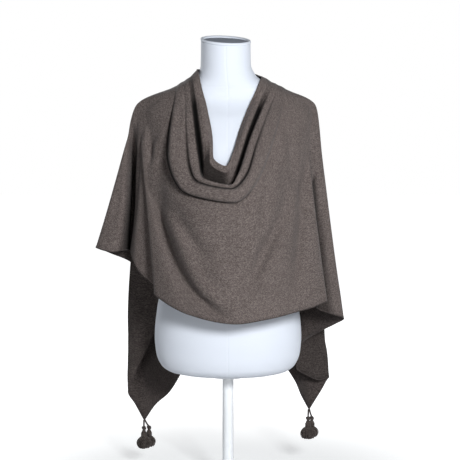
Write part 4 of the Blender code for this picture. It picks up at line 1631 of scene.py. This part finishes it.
@dataclass
class Tassel:
    """One tassel: a cord from the corner, a knot, a bound neck and a bushy skirt, in mm."""

    name: str
    corner: str
    beside: float
    x: float
    y: float
    knot_top: float
    skirt_radius: float
    skirt_length: float
    seed: int
    strands: int = 150
    knot_radius: float = 5.8
    knot_height: float = 9.0
    neck_radius: float = 6.4
    neck_height: float = 18.0
    cord_radius: float = 2.0
    cord_sag: float = 1.2
    cord_grip: float = 1.5
    cord_inset: float = 1.0
    cord_rise: float = 0.6
    cord_points: int = 12
    cord_sides: int = 10
    knot_points: int = 48
    neck_sides: int = 28
    strand_radius: float = 0.85
    strand_bow: Point = (0.62, 0.0, -0.52)
    strand_end: Point = (0.04, 0.0, -1.0)
    lean_spread: tuple[float, float] = (0.80, 1.05)
    length_spread: tuple[float, float] = (0.93, 1.03)
    root_share: float = 0.82
    skirt_overlap: float = 3.0
    flare_share: float = 0.5
    flare_limit: float = 0.9
    binding_turns: float = 6.0
    binding_pitch: float = 1.35
    binding_radius: float = 0.7

    def cord_path(self) -> list[Vector]:
        """Give the cord's points, from the knot up to the cloth's corner.

        Returns:
            The points in mm.
        """
        start = Vector((self.x, self.y, self.knot_top - self.cord_grip))
        row = next(row for row in STATIONS if row.name == self.corner)
        end = Vector((row.x + self.beside, row.y + self.cord_inset, row.z - SETTLE + self.cord_rise))
        sag = Vector((0, 0, self.cord_sag))
        return [start.lerp(end, part) - sag * math.sin(math.pi * part)
                for part in np.linspace(0, 1, self.cord_points)]

    def knot_path(self) -> list[Vector]:
        """Give the overhand knot's path: a trefoil laid round the cord's end.

        Returns:
            The points of the loop in mm.
        """
        middle = Vector((self.x, self.y, self.knot_top - 0.5 * self.knot_height))
        spread = (self.knot_radius - self.cord_radius) / 3
        rise = 0.5 * self.knot_height - self.cord_radius
        return [middle + Vector((spread * (math.sin(t) + 2 * math.sin(2 * t)),
                                 spread * (math.cos(t) - 2 * math.cos(2 * t)), -rise * math.sin(3 * t)))
                for t in ring_angles(self.knot_points)]

    def head_mesh(self) -> Mesh:
        """Make the cord, the knot and the barrel-shaped neck as one mesh.

        Returns:
            The mesh, in metres.
        """
        low = self.knot_top - self.knot_height - self.neck_height
        neck = [[Vector((self.x + share * self.neck_radius * math.cos(a),
                         self.y + share * self.neck_radius * math.sin(a),
                         low + rise * self.neck_height)) * MM for a in ring_angles(self.neck_sides)]
                for share, rise in NECK_PROFILE]
        cord = [point * MM for point in self.cord_path()]
        knot = [point * MM for point in self.knot_path()]
        radius = self.cord_radius * MM

        def build(shape: bmesh.types.BMesh) -> None:
            """Put the three parts in one shape."""
            add_loft(shape, tube_rings(cord, radius, self.cord_sides))
            rings = tube_rings(knot[-1:] + knot + knot[:1], radius, self.cord_sides)
            add_loft(shape, rings[1:-1], capped=False)
            add_loft(shape, neck)

        return mesh_from(build)

    def hang_strands(self, build: NodeBuild) -> Node:
        """Hang one bowed strand from each point of a sunflower pattern, leaning outwards.

        Args:
            build: the tree that takes the nodes and has the tassel's named inputs.

        Returns:
            The node that gives the realized strands.
        """
        node, inputs, sums = build.node, build.inputs, "ShaderNodeMath"
        index = node("GeometryNodeInputIndex")
        order = node(sums, {"operation": "ADD", 0: index, 1: 0.5})
        part = node(sums, {"operation": "DIVIDE", 0: order, 1: inputs["Strands"]})
        share = node(sums, {"operation": "SQRT", 0: part})
        angle = node(sums, {"operation": "MULTIPLY", 0: index, 1: GOLDEN_ANGLE})
        radius = node(sums, {"operation": "MULTIPLY", 0: share, 1: inputs["Root Radius"]})
        place = node("ShaderNodeCombineXYZ")
        for axis, wave in (("X", "COSINE"), ("Y", "SINE")):
            turned = node(sums, {"operation": wave, 0: angle})
            set_node(place, {axis: node(sums, {"operation": "MULTIPLY", 0: radius, 1: turned})})
        points = node("GeometryNodePoints", {"Count": inputs["Strands"], "Position": place})
        uneven, trimmed = (
            node("FunctionNodeRandomValue", {
                "data_type": "FLOAT", 2: low, 3: high, "Seed": inputs["Seed"]}).outputs[1]
            for low, high in (self.lean_spread, self.length_spread))
        flare = node(sums, {"operation": "MULTIPLY", 0: share, 1: inputs["Flare"]})
        lean = node(sums, {"operation": "MULTIPLY", 0: flare, 1: uneven})
        back = node(sums, {"operation": "MULTIPLY", 0: lean, 1: -1.0})
        turn = node("ShaderNodeCombineXYZ", {"Y": back, "Z": angle})
        strand = node("GeometryNodeCurveQuadraticBezier", {
            "Resolution": 8, "Start": (0, 0, 0), "Middle": self.strand_bow, "End": self.strand_end})
        thin = node(sums, {"operation": "DIVIDE", 0: inputs["Strand Radius"], 1: inputs["Skirt Length"]})
        section = node("GeometryNodeCurvePrimitiveCircle", {"Resolution": 6, "Radius": thin})
        tube = node("GeometryNodeCurveToMesh", {"Curve": strand, "Profile Curve": section, "Fill Caps": True})
        size = node(sums, {"operation": "MULTIPLY", 0: trimmed, 1: inputs["Skirt Length"]})
        wide = node(sums, {"operation": "MULTIPLY", 0: size, 1: share})
        scale = node("ShaderNodeCombineXYZ", {"X": wide, "Y": size, "Z": size})
        hung = node("GeometryNodeInstanceOnPoints", {
            "Points": points, "Instance": tube, "Rotation": turn, "Scale": scale})
        return node("GeometryNodeRealizeInstances", {"Geometry": hung})

    def wind_binding(self, build: NodeBuild) -> Node:
        """Wind a cord round the neck.

        Args:
            build: the tree that takes the nodes and has the tassel's named inputs.

        Returns:
            The node that gives the binding.
        """
        radius = self.neck_radius * MM
        coil = build.node("GeometryNodeCurveSpiral", {
            "Resolution": 22, "Rotations": build.inputs["Binding Turns"], "Start Radius": radius,
            "End Radius": radius, "Height": self.binding_pitch * self.binding_turns * MM})
        section = build.node("GeometryNodeCurvePrimitiveCircle", {
            "Resolution": 6, "Radius": self.binding_radius * MM})
        return build.node("GeometryNodeCurveToMesh", {
            "Curve": coil, "Profile Curve": section, "Fill Caps": True})

    def make(self, material: Material) -> Piece:
        """Hang the strands and wind the binding on the head, with a tree of named inputs.

        Args:
            material: the yarn.

        Returns:
            The finished piece.
        """
        root = self.root_share * self.neck_radius
        foot = self.knot_top - self.knot_height - self.neck_height + self.skirt_overlap
        reach = (self.skirt_radius - root) / self.skirt_length
        build = NodeBuild("yarn_" + self.name, {
            "Strands": self.strands,
            "Skirt Length": self.skirt_length * MM,
            "Strand Radius": self.strand_radius * MM,
            "Root Radius": root * MM,
            "Flare": self.flare_share * math.asin(min(self.flare_limit, reach)),
            "Skirt Top": (self.x * MM, self.y * MM, foot * MM),
            "Binding Turns": self.binding_turns,
            "Seed": self.seed,
            "Material": material,
        })
        joined = build.node("GeometryNodeJoinGeometry", {"Geometry": build.inputs["Geometry"]})
        for part in (self.hang_strands(build), self.wind_binding(build)):
            moved = build.node("GeometryNodeSetPosition", {
                "Geometry": part, "Offset": build.inputs["Skirt Top"]})
            set_node(joined, {"Geometry": moved})
        return build.make(joined, self.head_mesh())

    def build(self, palette: Palette) -> Piece:
        """Build and dress the tassel, which takes the place of its solid.

        Args:
            palette: the object's finishes.

        Returns:
            The finished piece.
        """
        piece = self.make(palette.yarn)
        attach(piece, BODY)
        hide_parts(self.name)
        return piece


TASSELS = (
    Tassel("tassel_left_front", "left tip", -1.1, -199, 116, 98, 16.5, 28, 3),
    Tassel("tassel_left_back", "left tip", 1.1, -188, 134, 95, 15.0, 25, 5),
    Tassel("tassel_right_front", "right tip", -1.1, 189, 117, 121, 18.5, 28, 11),
    Tassel("tassel_right_back", "right tip", 1.1, 199, 142, 116, 15.0, 25, 17),
)


# ---------------------------------------------------------------- studio

COOL_LIGHT = (0.93, 0.96, 1.0)


@dataclass
class Softbox:
    """A square area light that points at a target."""

    name: str
    place: Point
    size: float
    power: float
    colour: Point = (0.95, 0.98, 1.0)

    def build(self, target: Vector) -> None:
        """Add the light.

        Args:
            target: the point that it faces.
        """
        data = bpy.data.lights.new(self.name, "AREA")
        data.size = self.size
        data.energy = self.power
        data.color = self.colour
        lamp = bpy.data.objects.new(self.name, data)
        lamp.location = self.place
        lamp.rotation_euler = (target - Vector(self.place)).to_track_quat("-Z", "Y").to_euler()
        bpy.context.scene.collection.objects.link(lamp)


@dataclass(frozen=True)
class GlowingPaper(GrainedFinish):
    """White paper, seen fully white away from the object so that it has no edge or horizon.

    The glow is seen but lights nothing; near the object it is weaker, so the contact
    shadow stays.
    """

    near_glow: float = 0.42
    far_glow: float = 1.0
    near_metres: float = 0.25
    far_metres: float = 0.85

    def make(self) -> Material:
        """Build the material.

        Returns:
            The new material.
        """
        material = super().make()
        tree = material.node_tree
        place = add_node(tree, "ShaderNodeTexCoord")
        distance = add_node(tree, "ShaderNodeVectorMath", {"operation": "LENGTH", 0: place.outputs["Object"]})
        glow = add_node(tree, "ShaderNodeMapRange", {
            "interpolation_type": "SMOOTHSTEP", "From Min": self.near_metres, "From Max": self.far_metres,
            "To Min": self.near_glow, "To Max": self.far_glow, "Value": distance.outputs["Value"]})
        path = add_node(tree, "ShaderNodeLightPath")
        seen = add_node(tree, "ShaderNodeMath", {
            "operation": "MULTIPLY", 0: glow, 1: path.outputs["Is Camera Ray"]})
        shader = tree.nodes["Principled BSDF"]
        set_node(shader, {"Emission Color": (1.0, 1.0, 1.0, 1.0), "Emission Strength": seen})
        return material


@dataclass
class Studio:
    """The pale floor, the soft lights and the camera."""

    target: Point = (0.0045, 0.0, 0.575)
    distance: float = 3.2
    elevation: float = math.radians(5.5)
    lens: float = 111.3
    sensor: float = 36.0
    floor_half: float = 9.0
    seen_white: float = 1.0
    ambient: Point = (0.90, 0.95, 1.0)
    ambient_strength: float = 0.08
    lights: tuple[Softbox, ...] = (
        Softbox("key", (0.85, -2.55, 1.45), 0.55, 70.0),
        Softbox("fill", (1.7, -2.4, 0.5), 0.9, 7.0, COOL_LIGHT),
        Softbox("low left fill", (-1.5, -2.5, 0.4), 1.2, 8.0),
        Softbox("back", (-1.7, 2.3, 1.5), 0.7, 46.0),
        Softbox("back fill", (2.2, 1.9, 0.9), 1.2, 12.0, COOL_LIGHT),
    )

    def make_floor(self) -> Piece:
        """Make the sheet of paper that everything stands on.

        Returns:
            The floor.
        """
        mesh = mesh_from(lambda shape: bmesh.ops.create_grid(
            shape, x_segments=8, y_segments=8, size=self.floor_half))
        paper = GlowingPaper("white seamless paper", "#cfcfcf", 0.9, grain_mm=4.0, grain_height_mm=0.004)
        return mesh_object("stage_floor", mesh, paper.make())

    def make_world(self) -> bpy.types.World:
        """Make a dim cool surround that is seen as plain white behind the object.

        Returns:
            The world.
        """
        world = bpy.data.worlds.new("studio")
        world.use_nodes = True
        tree = world.node_tree
        dim = set_node(tree.nodes["Background"], {
            "Color": (*self.ambient, 1.0), "Strength": self.ambient_strength})
        white = add_node(tree, "ShaderNodeBackground", {"Color": (1, 1, 1, 1), "Strength": self.seen_white})
        path = add_node(tree, "ShaderNodeLightPath")
        both = add_node(tree, "ShaderNodeMixShader", {0: path.outputs["Is Camera Ray"], 1: dim, 2: white})
        set_node(tree.nodes["World Output"], {"Surface": both})
        return world

    def build(self) -> None:
        """Build the stage, the lights and the camera."""
        scene = bpy.context.scene
        self.make_floor()
        scene.world = self.make_world()
        target = Vector(self.target)
        for light in self.lights:
            light.build(target)
        data = bpy.data.cameras.new("camera")
        data.lens = self.lens
        data.sensor_width = self.sensor
        camera = bpy.data.objects.new("camera", data)
        back = Vector((0, -math.cos(self.elevation), math.sin(self.elevation)))
        camera.location = target + back * self.distance
        camera.rotation_euler = (-back).to_track_quat("-Z", "Y").to_euler()
        scene.collection.objects.link(camera)
        scene.camera = camera
        scene.view_settings.view_transform = "Standard"


def main() -> None:
    """Build the object's sub-assemblies in order, then the studio."""
    logging.basicConfig(level=logging.INFO, format="%(name)s: %(message)s")
    palette = make_palette()
    form = DressForm()
    form.build(palette)
    stand = Stand()
    stand.build(palette, form.sections[0].level)
    poncho = Poncho(form)
    poncho.build(palette)
    tassels = [tassel.build(palette) for tassel in TASSELS]
    Studio().build()
    for piece in (*form.pieces, *stand.pieces, *poncho.pieces, *tassels):
        LOG.info("%s: %d faces", piece.name, len(piece.data.polygons))


if __name__ == "__main__":
    main()
